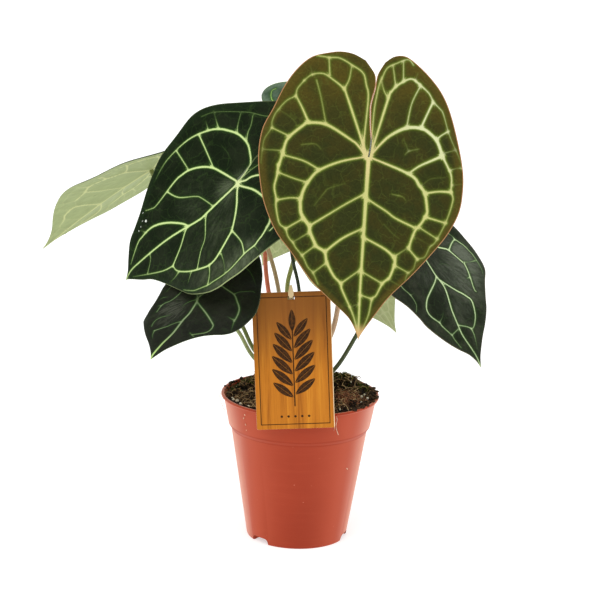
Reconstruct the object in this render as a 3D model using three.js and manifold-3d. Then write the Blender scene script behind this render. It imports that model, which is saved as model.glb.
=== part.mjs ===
// Potted Anthurium clarinervium: nursery pot, peat, eight heart-shaped blades on
// their leaf stalks, and a wooden label held on a flat stick.
// Millimetres, +Z up. The origin is the centre of the pot's underside.

import * as THREE from 'three';
import { mergeVertices } from 'three/addons/utils/BufferGeometryUtils.js';
import Module from 'manifold-3d';

const wasm = await Module();
wasm.setup();

// ---------- driving dimensions ----------

const clearance = 0.3;

const pot = {
  height: 112,
  rimRadius: 60,
  lipHeight: 2.2,
  collarTopRadius: 58,
  collarFootRadius: 54,
  collarFootHeight: 88.4,
  stepRadius: 52,
  stepHeight: 86,
  footRadius: 38.5,
  footRounding: 1.2,
  wall: 1.4,
  floor: 1.5,
  sides: 48,
  notchCount: 3,
  notchWidth: 16.5,
  notchHeight: 4.8,
  notchDepth: 10,
  notchCorner: 2.6,
  firstNotchAngle: -136,
};

const soil = {
  edgeHeight: 108.5,
  edgeChamfer: 2,
  topRings: 8,
  lump: 0.45,
  // Mounds on the peat: centre x, centre y, height and spread.
  mounds: [
    [-2, 0, 4.5, 20],
    [34, 26, 10, 19],
    [-38, 30, 4, 16],
    [20, -34, 1.5, 14],
  ],
};

const crown = {
  centre: [-2, 0],
  bottom: 96,
  radius: 5,
  shoulderHeight: 116,
  topRadius: 3,
  top: 120,
  sides: 14,
};

// The stalks stand in a ring round the crown, each in a straight hole in the peat,
// and end in a swollen joint under the blade.
const stalkRing = {
  radius: 9,
  buriedFrom: 90,
  straightTo: 116,
  steps: 20,
  endLength: 8,
  swelling: 1.3,
  swellingHalfLength: 5,
};

const blade = {
  thickness: 0.9,
  midribRows: 13,
  sinusRows: 7,
  columns: 5,
  foldRound: 0.055,
  rippleCount: 7,
};

const card = {
  width: 57,
  height: 102,
  thickness: 1,
  cornerRadius: 0.8,
  bottomCentre: [-2.4, -61.4, 102.4],
  leanBack: 2,
  roll: 3.6,
  slotCentreHeight: 97.5,
  slotWidth: 5,
  slotHeight: 2.4,
};

const stick = {
  width: 4,
  thickness: 1.6,
  foot: -14,
  footSetback: 10.8,
  neckWidth: 2.4,
  neckHeight: 1.4,
  headThickness: 1.4,
  headHalfWidth: 2,
  barbBottom: 1.4,
  barbTop: 4.4,
  tipHeight: 9.6,
  tipHalfWidth: 1,
};

// Half of a blade's outline in blade lengths (junction at 0, 0 and tip at 0, -1):
// the sinus edge from the junction to the top of the lobe, then the margin to the tip.
const plainSinus = [[0, 0], [0.01, 0.05], [0.008, 0.22], [0.01, 0.42], [0.035, 0.49], [0.09, 0.545]];
const plainMargin = [
  [0.09, 0.545], [0.17, 0.568], [0.26, 0.54], [0.36, 0.45], [0.45, 0.315], [0.52, 0.16],
  [0.56, 0], [0.565, -0.15], [0.53, -0.29], [0.45, -0.43], [0.34, -0.58], [0.22, -0.71],
  [0.11, -0.83], [0.04, -0.92], [0, -1],
];
const plainHalf = { sinus: plainSinus, margin: plainMargin };

// Each leaf: where the stalk joins the blade, the blade's tip, the roll about the
// midrib in degrees, how the blade bends, and the points that the stalk passes.
// bend: fold = valley along the midrib, cup = curl of the sides, arch = rise between
// junction and tip, lobeDroop = fall of the lobes, twist, and ripple of the margin.
const leaves = [
  {
    name: 'front',
    joint: [43, -78, 306.8],
    tip: [38.5, -131, 188.3],
    roll: -4,
    bend: { fold: 0.04, cup: -0.05, arch: 0.02, lobeDroop: 0, twist: -0.08, ripple: 0.012 },
    right: {
      sinus: [[0, 0], [0.004, 0.05], [0.006, 0.2], [0.005, 0.32], [0.022, 0.45], [0.06, 0.54]],
      margin: [
        [0.06, 0.54], [0.11, 0.578], [0.17, 0.583], [0.23, 0.545], [0.31, 0.47], [0.38, 0.38], [0.43, 0.27],
        [0.475, 0.11], [0.51, -0.06], [0.512, -0.19], [0.495, -0.29], [0.45, -0.39], [0.39, -0.48],
        [0.27, -0.63], [0.15, -0.76], [0.06, -0.89], [0.01, -0.97], [0, -1],
      ],
    },
    left: {
      sinus: [[0, 0], [-0.006, 0.05], [-0.006, 0.2], [-0.008, 0.32], [0.008, 0.45], [-0.045, 0.545]],
      margin: [
        [-0.045, 0.545], [-0.11, 0.576], [-0.175, 0.585], [-0.24, 0.575], [-0.34, 0.54], [-0.42, 0.46],
        [-0.48, 0.36], [-0.53, 0.24], [-0.58, 0.12], [-0.592, -0.03], [-0.57, -0.19],
        [-0.535, -0.31], [-0.47, -0.44], [-0.38, -0.55], [-0.27, -0.69], [-0.15, -0.8],
        [-0.06, -0.88], [-0.015, -0.955], [0, -1],
      ],
    },
    stalk: {
      radius: 1.9,
      angle: -50,
      color: 0xb8946f,
      route: [[23, -25, 168.8], [27, -34, 194.8], [35, -49, 241.8]],
    },
    bladeColor: 0x3f4220,
  },
  {
    name: 'left',
    joint: [-49.5, -30, 278.3],
    tip: [-135, 13.5, 192.8],
    roll: -58,
    bend: { fold: 0.04, cup: 0.15, arch: 0.17, lobeDroop: 0.45, twist: 0.22, ripple: 0.02 },
    right: {
      sinus: [[0, 0], [0.01, 0.05], [0.008, 0.22], [0.01, 0.42], [0.04, 0.5], [0.1, 0.55]],
      margin: [
        [0.1, 0.55], [0.2, 0.56], [0.32, 0.52], [0.43, 0.43], [0.52, 0.31], [0.575, 0.19],
        [0.61, 0.06], [0.6, -0.08], [0.58, -0.2], [0.575, -0.3], [0.545, -0.39], [0.46, -0.51],
        [0.36, -0.6], [0.24, -0.7], [0.15, -0.785], [0.09, -0.87], [0.04, -0.935], [0.008, -0.98],
        [0, -1],
      ],
    },
    left: {
      sinus: [[0, 0], [-0.01, 0.05], [-0.008, 0.22], [-0.01, 0.42], [-0.04, 0.5], [-0.1, 0.55]],
      margin: [
        [-0.1, 0.55], [-0.18, 0.555], [-0.27, 0.51], [-0.36, 0.41], [-0.43, 0.29],
        [-0.49, 0.16], [-0.53, 0.06], [-0.552, -0.04], [-0.55, -0.13], [-0.52, -0.23],
        [-0.46, -0.37], [-0.39, -0.48], [-0.32, -0.59], [-0.255, -0.68], [-0.205, -0.76],
        [-0.16, -0.84], [-0.09, -0.905], [-0.03, -0.955], [0, -1],
      ],
    },
    stalk: {
      radius: 1.6,
      angle: 205,
      color: 0x96825f,
      route: [[-18, -10, 192.8], [-27, -13, 225.8], [-40, -14, 253.8]],
    },
    bladeColor: 0x26361f,
  },
  {
    name: 'low_left',
    joint: [-76.5, -46.5, 195.3],
    tip: [-105.5, -110, 165.3],
    roll: 10,
    bend: { fold: 0.12, cup: -0.3, arch: -0.08, lobeDroop: -0.15, twist: -0.04, ripple: 0.02 },
    right: {
      sinus: [[0, 0], [0.012, 0.05], [0.012, 0.25], [0.03, 0.47], [0.1, 0.59]],
      margin: [
        [0.1, 0.59], [0.22, 0.65], [0.34, 0.64], [0.45, 0.56], [0.54, 0.39], [0.61, 0.2],
        [0.665, 0.04], [0.69, -0.12], [0.685, -0.3], [0.68, -0.43], [0.64, -0.53], [0.57, -0.575],
        [0.47, -0.59], [0.38, -0.61], [0.3, -0.65], [0.22, -0.71], [0.14, -0.78], [0.07, -0.85],
        [0.025, -0.94], [0, -1],
      ],
    },
    left: {
      sinus: [[0, 0], [-0.012, 0.05], [-0.012, 0.25], [-0.02, 0.44], [-0.06, 0.51], [-0.14, 0.55]],
      margin: [
        [-0.14, 0.55], [-0.25, 0.54], [-0.37, 0.46], [-0.46, 0.35], [-0.51, 0.21],
        [-0.495, 0.08], [-0.48, -0.04], [-0.495, -0.17], [-0.485, -0.29], [-0.42, -0.4],
        [-0.31, -0.56], [-0.18, -0.72], [-0.085, -0.85], [-0.03, -0.94], [0, -1],
      ],
    },
    stalk: {
      radius: 1.5,
      angle: 250,
      color: 0x8d9c66,
      route: [[-35, -20, 143.8], [-48, -34, 168.8], [-64, -45, 184.8]],
    },
    bladeColor: 0x1d261d,
  },
  {
    name: 'right',
    joint: [79.5, 12.5, 230.8],
    tip: [133.5, -34, 144.8],
    roll: -5,
    bend: { fold: -0.05, cup: 0.17, arch: 0.12, lobeDroop: 0.02, twist: -0.28, ripple: 0.015 },
    right: {
      sinus: [[0, 0], [0.01, 0.05], [0.01, 0.22], [0.01, 0.42], [0.03, 0.49], [0.08, 0.54]],
      margin: [
        [0.08, 0.54], [0.16, 0.56], [0.25, 0.53], [0.35, 0.44], [0.44, 0.32], [0.51, 0.18],
        [0.55, 0.06], [0.565, -0.06], [0.57, -0.17], [0.54, -0.28], [0.5, -0.36], [0.43, -0.44],
        [0.36, -0.54], [0.3, -0.63], [0.22, -0.72], [0.14, -0.8], [0.08, -0.87], [0.035, -0.93],
        [0, -1],
      ],
    },
    left: {
      sinus: [[0, 0], [-0.01, 0.05], [-0.01, 0.22], [-0.01, 0.42], [-0.03, 0.49], [-0.09, 0.545]],
      margin: [
        [-0.09, 0.545], [-0.18, 0.55], [-0.3, 0.48], [-0.42, 0.35], [-0.5, 0.21],
        [-0.555, 0.06], [-0.572, -0.1], [-0.56, -0.24], [-0.52, -0.36], [-0.45, -0.43],
        [-0.4, -0.48], [-0.34, -0.56], [-0.3, -0.63], [-0.2, -0.75], [-0.12, -0.83],
        [-0.05, -0.89], [-0.012, -0.95], [0, -1],
      ],
    },
    stalk: {
      radius: 1.6,
      angle: -5,
      color: 0x4a5a3a,
      route: [[25, -4, 131.8], [40, 0, 155.8], [60, 6, 197.8]],
    },
    bladeColor: 0x2b342e,
  },
  {
    name: 'far_left',
    joint: [-123, 92, 265.8],
    tip: [-212.5, 114, 193.8],
    roll: 7,
    bend: { fold: 0.29, cup: -0.34, arch: 0.08, lobeDroop: 0.15, twist: -0.3, ripple: 0.012 },
    right: {
      sinus: plainHalf.sinus,
      margin: [
        [0.09, 0.545], [0.17, 0.568], [0.26, 0.54], [0.36, 0.45], [0.45, 0.315], [0.52, 0.16],
        [0.56, 0], [0.565, -0.15], [0.53, -0.3], [0.45, -0.45], [0.335, -0.585], [0.21, -0.705],
        [0.11, -0.8], [0.05, -0.88], [0.015, -0.95], [0, -1],
      ],
    },
    left: {
      sinus: [[0, 0], [-0.01, 0.05], [-0.008, 0.22], [-0.01, 0.42], [-0.035, 0.49], [-0.09, 0.545]],
      margin: [
        [-0.09, 0.545], [-0.17, 0.568], [-0.26, 0.54], [-0.36, 0.45], [-0.45, 0.315], [-0.52, 0.16],
        [-0.55, 0], [-0.55, -0.15], [-0.53, -0.29], [-0.47, -0.43], [-0.37, -0.55], [-0.25, -0.64],
        [-0.14, -0.73], [-0.055, -0.82], [-0.012, -0.91], [0, -1],
      ],
    },
    stalk: {
      radius: 1.6,
      angle: 165,
      color: 0x75804a,
      route: [[-36, 8, 142.8], [-45, 14, 158.8], [-75, 40, 206.8], [-105, 70, 246.8]],
    },
    bladeColor: 0x31402c,
  },
  {
    name: 'top',
    joint: [-14, 30, 317.8],
    tip: [34, 5, 290.8],
    roll: 51,
    bend: { fold: 0.06, cup: -0.1, arch: 0.1, lobeDroop: 0.2, twist: 0, ripple: 0.02 },
    right: plainHalf,
    left: plainHalf,
    stalk: {
      radius: 1.3,
      angle: 60,
      color: 0x3e4a38,
      route: [[-3, 8, 190.8], [-9, 10, 216.8], [-16, 24, 277.8]],
    },
    bladeColor: 0x26382f,
  },
  {
    name: 'back_left',
    joint: [-17, 92, 234.8],
    tip: [-33, 96, 188.8],
    roll: 95,
    bend: { fold: 0.08, cup: -0.15, arch: 0.15, lobeDroop: 0.1, twist: 0, ripple: 0.02 },
    right: plainHalf,
    left: plainHalf,
    stalk: {
      radius: 1.7,
      angle: 130,
      color: 0xbe6c58,
      route: [[-26, 14, 186.8], [-29.5, 24, 213.8], [-28, 50, 229.8]],
    },
    bladeColor: 0x2c3c2b,
  },
  {
    name: 'back_right',
    joint: [26, 45, 212.8],
    tip: [74, 42, 150.3],
    roll: -60,
    width: 0.9,
    bend: { fold: 0.08, cup: -0.15, arch: 0.15, lobeDroop: 0.1, twist: 0, ripple: 0.02 },
    right: plainHalf,
    left: plainHalf,
    stalk: {
      radius: 1.7,
      angle: 95,
      color: 0x8a8f50,
      route: [[-12, 14, 187.8], [-10, 18, 201.8], [-3, 23, 219.8], [11, 32, 225.8]],
    },
    bladeColor: 0x2c3c2b,
  },
];

// ---------- materials ----------

function paint(name, color, roughness) {
  return new THREE.MeshStandardMaterial({ name, color, roughness, metalness: 0 });
}

const materials = {
  pot: paint('pot', 0xb85c40, 0.5),
  soil: paint('soil', 0x2e2119, 0.95),
  crown: paint('crown', 0x6b5638, 0.9),
  wood: paint('wood', 0xc08436, 0.7),
  stick: paint('stick', 0xd2b48a, 0.7),
};

// ---------- solids ----------

// A closed three.js geometry with its shared vertices merged, as a manifold solid.
function toSolid(geometry) {
  const plain = geometry.index ? geometry.toNonIndexed() : geometry.clone();
  plain.deleteAttribute('normal');
  plain.deleteAttribute('uv');
  const merged = mergeVertices(plain, 1e-4);
  return new wasm.Manifold(new wasm.Mesh({
    numProp: 3,
    vertProperties: new Float32Array(merged.attributes.position.array),
    triVerts: new Uint32Array(merged.index.array),
  }));
}

function toGeometry(solid) {
  const mesh = solid.getMesh();
  const geometry = new THREE.BufferGeometry();
  geometry.setAttribute('position', new THREE.BufferAttribute(mesh.vertProperties.slice(), 3));
  geometry.setIndex(new THREE.BufferAttribute(mesh.triVerts.slice(), 1));
  geometry.computeVertexNormals();
  return geometry;
}

function toMesh(name, geometry, material) {
  const mesh = new THREE.Mesh(geometry, material);
  mesh.name = name;
  return mesh;
}

function degrees(angle) {
  return THREE.MathUtils.degToRad(angle);
}

function lathe(profile, sides) {
  const points = profile.map(([radius, height]) => new THREE.Vector2(radius, height));
  const geometry = new THREE.LatheGeometry(points, sides);
  // LatheGeometry turns its profile about Y: stand it up on Z.
  geometry.rotateX(Math.PI / 2);
  return geometry;
}

// ---------- pot ----------

function potInnerRadius(height) {
  if (height > pot.collarFootHeight) {
    const rise = (height - pot.collarFootHeight) / (pot.height - pot.lipHeight - pot.collarFootHeight);
    return THREE.MathUtils.lerp(pot.collarFootRadius, pot.collarTopRadius, Math.min(rise, 1)) - pot.wall;
  }
  if (height > pot.stepHeight) {
    const rise = (height - pot.stepHeight) / (pot.collarFootHeight - pot.stepHeight);
    return THREE.MathUtils.lerp(pot.stepRadius, pot.collarFootRadius, rise) - pot.wall;
  }
  return THREE.MathUtils.lerp(pot.footRadius, pot.stepRadius, height / pot.stepHeight) - pot.wall;
}

function notchAngles() {
  return Array.from({ length: pot.notchCount }, (_, i) => (
    degrees(pot.firstNotchAngle + (i * 360) / pot.notchCount)
  ));
}

function makePot() {
  const collarTop = pot.height - pot.lipHeight;
  const outside = [
    [0, 0],
    [pot.footRadius - pot.footRounding, 0],
    [pot.footRadius, pot.footRounding],
    [pot.stepRadius, pot.stepHeight],
    [pot.collarFootRadius, pot.collarFootHeight],
    [pot.collarTopRadius, collarTop],
    [pot.rimRadius, collarTop + 0.6],
    [pot.rimRadius, pot.height - 0.4],
    [pot.rimRadius - 0.4, pot.height],
    [0, pot.height],
  ];
  const inside = [
    [0, pot.floor],
    [potInnerRadius(pot.floor), pot.floor],
    [potInnerRadius(pot.stepHeight), pot.stepHeight],
    [potInnerRadius(pot.collarFootHeight + 0.1), pot.collarFootHeight],
    [potInnerRadius(collarTop), collarTop - 1],
    [pot.rimRadius - 2.2, pot.height],
    [pot.rimRadius - 2.2, pot.height + 1],
    [0, pot.height + 1],
  ];
  // Each notch has a moulded roof that stands up inside the pot.
  let cavity = toSolid(lathe(inside, pot.sides));
  for (const angle of notchAngles()) {
    cavity = cavity.subtract(makeNotch(angle, pot.wall));
  }
  let solid = toSolid(lathe(outside, pot.sides)).subtract(cavity);
  for (const angle of notchAngles()) {
    solid = solid.subtract(makeNotch(angle, 0));
  }
  return toMesh('pot', toGeometry(solid), materials.pot);
}

// An arch-topped drain notch through the foot of the wall and the floor's edge,
// larger all round by the given margin.
function makeNotch(angle, margin) {
  const half = pot.notchWidth / 2 + margin;
  const corner = pot.notchCorner;
  const height = pot.notchHeight + margin;
  const depth = pot.notchDepth + margin;
  const shape = new THREE.Shape();
  shape.moveTo(-half, -1);
  shape.lineTo(half, -1);
  shape.lineTo(half, height - corner);
  shape.lineTo(half - corner, height);
  shape.lineTo(corner - half, height);
  shape.lineTo(-half, height - corner);
  shape.closePath();
  const geometry = new THREE.ExtrudeGeometry(shape, { depth: depth + 2, bevelEnabled: false });
  // The shape's X stays across, its Y goes up and its depth runs outwards along the radius.
  const across = new THREE.Vector3(-Math.sin(angle), Math.cos(angle), 0);
  const outward = new THREE.Vector3(Math.cos(angle), Math.sin(angle), 0);
  const frame = new THREE.Matrix4().makeBasis(across, new THREE.Vector3(0, 0, 1), outward);
  frame.setPosition(outward.clone().multiplyScalar(pot.footRadius - depth));
  geometry.applyMatrix4(frame);
  return toSolid(geometry);
}

// ---------- peat ----------

function soilHeight(x, y) {
  let height = soil.edgeHeight;
  for (const [centreX, centreY, rise, spread] of soil.mounds) {
    const distance = Math.hypot(x - centreX, y - centreY);
    height += rise * Math.exp(-((distance / spread) ** 2));
  }
  const lumps = Math.sin(x * 0.31 + 1.3) * Math.cos(y * 0.27) + Math.sin(x * 0.17 - y * 0.23);
  return height + soil.lump * lumps;
}

function makeSoilPlug() {
  const bottom = pot.floor + clearance;
  const edge = potInnerRadius(soil.edgeHeight - soil.edgeChamfer) - clearance;
  const profile = [
    [0, bottom],
    [potInnerRadius(bottom) - clearance, bottom],
    [potInnerRadius(pot.stepHeight) - clearance, pot.stepHeight + clearance],
    [potInnerRadius(pot.collarFootHeight) - clearance, pot.collarFootHeight + clearance],
    [edge, soil.edgeHeight - soil.edgeChamfer],
  ];
  for (let ring = 0; ring <= soil.topRings; ring += 1) {
    profile.push([(edge - 0.4) * (1 - ring / soil.topRings), soil.edgeHeight]);
  }
  const geometry = lathe(profile, pot.sides);
  const position = geometry.attributes.position;
  for (let i = 0; i < position.count; i += 1) {
    if (position.getZ(i) > soil.edgeHeight - 0.1) {
      const x = position.getX(i);
      const y = position.getY(i);
      const inward = 1 - Math.hypot(x, y) / edge;
      const settle = Math.min(1, inward * 6);
      position.setZ(i, THREE.MathUtils.lerp(soil.edgeHeight, soilHeight(x, y), settle));
    }
  }
  let plug = toSolid(geometry);
  for (const angle of notchAngles()) {
    plug = plug.subtract(makeNotch(angle, pot.wall + clearance));
  }
  return plug;
}

function makeCrown(extra) {
  const [x, y] = crown.centre;
  const geometry = lathe([
    [0, crown.bottom - extra],
    [crown.radius + extra, crown.bottom - extra],
    [crown.radius + extra, crown.shoulderHeight],
    [crown.topRadius + extra, crown.top],
    [0, crown.top + extra],
  ], crown.sides);
  geometry.translate(x, y, 0);
  return toSolid(geometry);
}

// ---------- leaves ----------

// The blade's own axes: side runs to its right half, lobes from tip to junction,
// and face out of its upper surface.
function bladeFrame(leaf) {
  const joint = new THREE.Vector3(...leaf.joint);
  const tip = new THREE.Vector3(...leaf.tip);
  const length = joint.distanceTo(tip);
  const lobes = joint.clone().sub(tip).normalize();
  const level = new THREE.Vector3().crossVectors(lobes, new THREE.Vector3(0, 0, 1)).normalize();
  const upright = new THREE.Vector3().crossVectors(level, lobes);
  const roll = degrees(leaf.roll);
  const side = level.clone().multiplyScalar(Math.cos(roll)).addScaledVector(upright, Math.sin(roll));
  const face = upright.clone().multiplyScalar(Math.cos(roll)).addScaledVector(level, -Math.sin(roll));
  return { joint, length, side, lobes, face };
}

// Height of the upper surface over the blade's plane, all in blade lengths.
// The midrib's valley is rounded over foldRound, and the margin has rippleCount waves.
function bladeHeight(x, y, bend) {
  let height = bend.fold * (Math.hypot(x, blade.foldRound) - blade.foldRound);
  height += bend.cup * x * x;
  height += bend.arch * (-y - y * y);
  height += bend.twist * x * y;
  if (y > 0) {
    height -= bend.lobeDroop * y * y;
  }
  const around = Math.atan2(x, -(y + 0.1));
  height += bend.ripple * 2 * x * x * Math.sin(blade.rippleCount * around + 1);
  return height;
}

// Rows of points over one half: from the spine (midrib, then sinus edge) to the margin.
// The first row is the tip and the last is the top of the lobe, single points both.
function halfRows(half, sign, width) {
  const turn = half === plainHalf ? sign : 1;
  const asCurve = (points) => new THREE.SplineCurve(
    points.map(([x, y]) => new THREE.Vector2(x * turn * width, y)),
  );
  const rows = blade.midribRows + blade.sinusRows;
  const sinus = asCurve(half.sinus).getSpacedPoints(blade.sinusRows);
  const margin = asCurve(half.margin).getSpacedPoints(rows).reverse();
  const result = [];
  for (let row = 0; row <= rows; row += 1) {
    const spine = row <= blade.midribRows
      ? new THREE.Vector2(0, row / blade.midribRows - 1)
      : sinus[row - blade.midribRows];
    const points = [];
    for (let column = 0; column <= blade.columns; column += 1) {
      points.push(spine.clone().lerp(margin[row], column / blade.columns));
    }
    result.push(points);
  }
  return result;
}

function makeBlade(leaf) {
  const frame = bladeFrame(leaf);
  const positions = [];
  const keys = new Map();
  const flat = [];
  const addPoint = (point) => {
    const key = `${point.x.toFixed(5)} ${point.y.toFixed(5)}`;
    if (!keys.has(key)) {
      keys.set(key, flat.length);
      flat.push(point);
    }
    return keys.get(key);
  };
  const triangles = [];
  const addTriangle = (a, b, c) => {
    if (a !== b && b !== c && a !== c) {
      triangles.push([a, b, c]);
    }
  };
  for (const [half, sign] of [[leaf.right, 1], [leaf.left, -1]]) {
    const rows = halfRows(half, sign, leaf.width ?? 1);
    const indices = rows.map((points) => points.map(addPoint));
    for (let row = 0; row < rows.length - 1; row += 1) {
      for (let column = 0; column < blade.columns; column += 1) {
        const a = indices[row][column];
        const b = indices[row][column + 1];
        const c = indices[row + 1][column + 1];
        const d = indices[row + 1][column];
        if (sign > 0) {
          addTriangle(a, b, c);
          addTriangle(a, c, d);
        } else {
          addTriangle(a, c, b);
          addTriangle(a, d, c);
        }
      }
    }
  }
  const count = flat.length;
  for (const depth of [0, blade.thickness]) {
    for (const point of flat) {
      const height = bladeHeight(point.x, point.y, leaf.bend) * frame.length - depth;
      const place = frame.joint.clone()
        .addScaledVector(frame.side, point.x * frame.length)
        .addScaledVector(frame.lobes, point.y * frame.length)
        .addScaledVector(frame.face, height);
      positions.push(place.x, place.y, place.z);
    }
  }
  const index = [];
  const edges = new Map();
  for (const [a, b, c] of triangles) {
    index.push(a, b, c);
    index.push(a + count, c + count, b + count);
    for (const [from, to] of [[a, b], [b, c], [c, a]]) {
      edges.set(`${from} ${to}`, [from, to]);
    }
  }
  // The rim: a wall down from every edge that only one triangle uses.
  for (const [from, to] of edges.values()) {
    if (!edges.has(`${to} ${from}`)) {
      index.push(to, from, from + count);
      index.push(to, from + count, to + count);
    }
  }
  const geometry = new THREE.BufferGeometry();
  geometry.setAttribute('position', new THREE.Float32BufferAttribute(positions, 3));
  geometry.setIndex(index);
  geometry.computeVertexNormals();
  return toMesh(`blade_${leaf.name}`, geometry, paint(`blade_${leaf.name}`, leaf.bladeColor, 0.5));
}

// The stalk's centre line: straight up out of its hole, then past its route's points,
// and square into the blade's underside at the junction.
function stalkPath(leaf, extraDepth = 0) {
  const frame = bladeFrame(leaf);
  const angle = degrees(leaf.stalk.angle);
  const x = crown.centre[0] + stalkRing.radius * Math.cos(angle);
  const y = crown.centre[1] + stalkRing.radius * Math.sin(angle);
  const away = frame.face.clone().addScaledVector(frame.lobes, leaf.bend.arch).normalize().negate();
  const end = frame.joint.clone().addScaledVector(away, blade.thickness + clearance);
  const bend = end.clone().addScaledVector(away, stalkRing.endLength);
  const points = [
    new THREE.Vector3(x, y, stalkRing.buriedFrom - extraDepth),
    new THREE.Vector3(x, y, (stalkRing.buriedFrom + stalkRing.straightTo) / 2),
    new THREE.Vector3(x, y, stalkRing.straightTo),
    ...leaf.stalk.route.map((place) => new THREE.Vector3(...place)),
    bend,
    end,
  ];
  return { path: new THREE.CatmullRomCurve3(points, false, 'centripetal'), bend, end };
}

function sweep(path, radius) {
  const shape = new THREE.Shape();
  shape.absarc(0, 0, radius, 0, Math.PI * 2);
  return new THREE.ExtrudeGeometry(shape, { steps: stalkRing.steps, curveSegments: 4, extrudePath: path });
}

function makeStalk(leaf) {
  const { path, bend, end } = stalkPath(leaf);
  const tube = toSolid(sweep(path, leaf.stalk.radius));
  // The swollen joint just under the blade.
  const swelling = new THREE.SphereGeometry(1, 8, 6);
  const swollen = leaf.stalk.radius * stalkRing.swelling;
  swelling.scale(swollen, swollen, stalkRing.swellingHalfLength);
  swelling.applyQuaternion(new THREE.Quaternion().setFromUnitVectors(
    new THREE.Vector3(0, 0, 1),
    end.clone().sub(bend).normalize(),
  ));
  const middle = bend.clone().lerp(end, 0.3);
  swelling.translate(middle.x, middle.y, middle.z);
  const solid = tube.add(toSolid(swelling));
  const material = paint(`stalk_${leaf.name}`, leaf.stalk.color, 0.45);
  return toMesh(`stalk_${leaf.name}`, toGeometry(solid), material);
}

// ---------- label and stick ----------

function centredBox(width, depth, height, x, y, z) {
  const geometry = new THREE.BoxGeometry(width, depth, height);
  geometry.translate(x, y, z);
  return toSolid(geometry);
}

function makeCard() {
  const half = card.width / 2;
  const corner = card.cornerRadius;
  const shape = new THREE.Shape();
  shape.moveTo(corner - half, 0);
  shape.lineTo(half - corner, 0);
  shape.lineTo(half, corner);
  shape.lineTo(half, card.height - corner);
  shape.lineTo(half - corner, card.height);
  shape.lineTo(corner - half, card.height);
  shape.lineTo(-half, card.height - corner);
  shape.lineTo(-half, corner);
  shape.closePath();
  const geometry = new THREE.ExtrudeGeometry(shape, { depth: card.thickness, bevelEnabled: false });
  geometry.rotateX(Math.PI / 2);
  geometry.translate(0, card.thickness / 2, 0);
  const slot = centredBox(card.slotWidth, card.thickness * 4, card.slotHeight, 0, 0, card.slotCentreHeight);
  return toSolid(geometry).subtract(slot);
}

// The stick stands behind the card, and its arrow head comes forward through the slot.
function makeStick() {
  const back = card.thickness / 2 + clearance;
  const front = -back - stick.headThickness;
  const centre = card.slotCentreHeight;
  const side = new THREE.Shape();
  side.moveTo(stick.footSetback, stick.foot);
  side.lineTo(stick.footSetback + stick.thickness, stick.foot);
  side.lineTo(back + stick.thickness, centre + stick.neckHeight / 2);
  side.lineTo(back, centre + stick.neckHeight / 2);
  side.closePath();
  const shaft = new THREE.ExtrudeGeometry(side, { depth: stick.width, bevelEnabled: false });
  // The shape's X runs back, its Y up, and its depth across.
  shaft.applyMatrix4(new THREE.Matrix4().makeBasis(
    new THREE.Vector3(0, 1, 0),
    new THREE.Vector3(0, 0, 1),
    new THREE.Vector3(1, 0, 0),
  ));
  shaft.translate(-stick.width / 2, 0, 0);
  const neckDepth = back + stick.thickness - front;
  const neck = centredBox(
    stick.neckWidth,
    neckDepth,
    stick.neckHeight,
    0,
    front + neckDepth / 2,
    centre,
  );
  const outline = new THREE.Shape();
  const halfNeck = stick.neckWidth / 2;
  outline.moveTo(-halfNeck, centre - stick.neckHeight / 2);
  outline.lineTo(halfNeck, centre - stick.neckHeight / 2);
  outline.lineTo(halfNeck, centre + stick.barbBottom);
  outline.lineTo(stick.headHalfWidth, centre + stick.barbBottom + 0.5);
  outline.lineTo(stick.headHalfWidth, centre + stick.barbTop);
  outline.lineTo(stick.tipHalfWidth, centre + stick.tipHeight);
  outline.lineTo(-stick.tipHalfWidth, centre + stick.tipHeight);
  outline.lineTo(-stick.headHalfWidth, centre + stick.barbTop);
  outline.lineTo(-stick.headHalfWidth, centre + stick.barbBottom + 0.5);
  outline.lineTo(-halfNeck, centre + stick.barbBottom);
  outline.closePath();
  const head = new THREE.ExtrudeGeometry(outline, { depth: stick.headThickness, bevelEnabled: false });
  head.rotateX(Math.PI / 2);
  head.translate(0, front + stick.headThickness, 0);
  return toSolid(shaft).add(neck).add(toSolid(head));
}

// The card hangs on the stick's head, turned a little and leaning back on the rim.
const cardPlace = new THREE.Matrix4().compose(
  new THREE.Vector3(...card.bottomCentre),
  new THREE.Quaternion().setFromEuler(new THREE.Euler(degrees(-card.leanBack), degrees(-card.roll), 0)),
  new THREE.Vector3(1, 1, 1),
);

function placed(name, solid, material) {
  const mesh = toMesh(name, toGeometry(solid), material);
  mesh.applyMatrix4(cardPlace);
  return mesh;
}

// ---------- assembly ----------

function makeSoil() {
  let solid = makeSoilPlug().subtract(makeCrown(clearance));
  for (const leaf of leaves) {
    const { path } = stalkPath(leaf, clearance);
    solid = solid.subtract(toSolid(sweep(path, leaf.stalk.radius + clearance)));
  }
  const stickHole = new THREE.BoxGeometry(stick.width + 2 * clearance, stick.thickness + 2 * clearance, 60);
  const topSetback = card.thickness / 2 + clearance;
  const rise = card.slotCentreHeight + stick.neckHeight / 2 - stick.foot;
  const lean = Math.atan2(stick.footSetback - topSetback, rise);
  stickHole.translate(0, 0, 30 - clearance);
  stickHole.rotateX(lean);
  stickHole.translate(0, stick.footSetback + stick.thickness / 2, stick.foot);
  stickHole.applyMatrix4(cardPlace);
  solid = solid.subtract(toSolid(stickHole));
  return toMesh('soil', toGeometry(solid), materials.soil);
}

const plant = new THREE.Group();
plant.add(makePot());
plant.add(makeSoil());
plant.add(toMesh('crown', toGeometry(makeCrown(0)), materials.crown));
for (const leaf of leaves) {
  plant.add(makeBlade(leaf));
  plant.add(makeStalk(leaf));
}
plant.add(placed('label', makeCard(), materials.wood));
plant.add(placed('label_stick', makeStick(), materials.stick));

export default plant;
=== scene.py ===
# Potted Anthurium clarinervium: fine blades with their net of veins, leaf stalks, peat
# with moss and perlite, nursery pot and wooden label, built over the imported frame.

import math
import random

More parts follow.
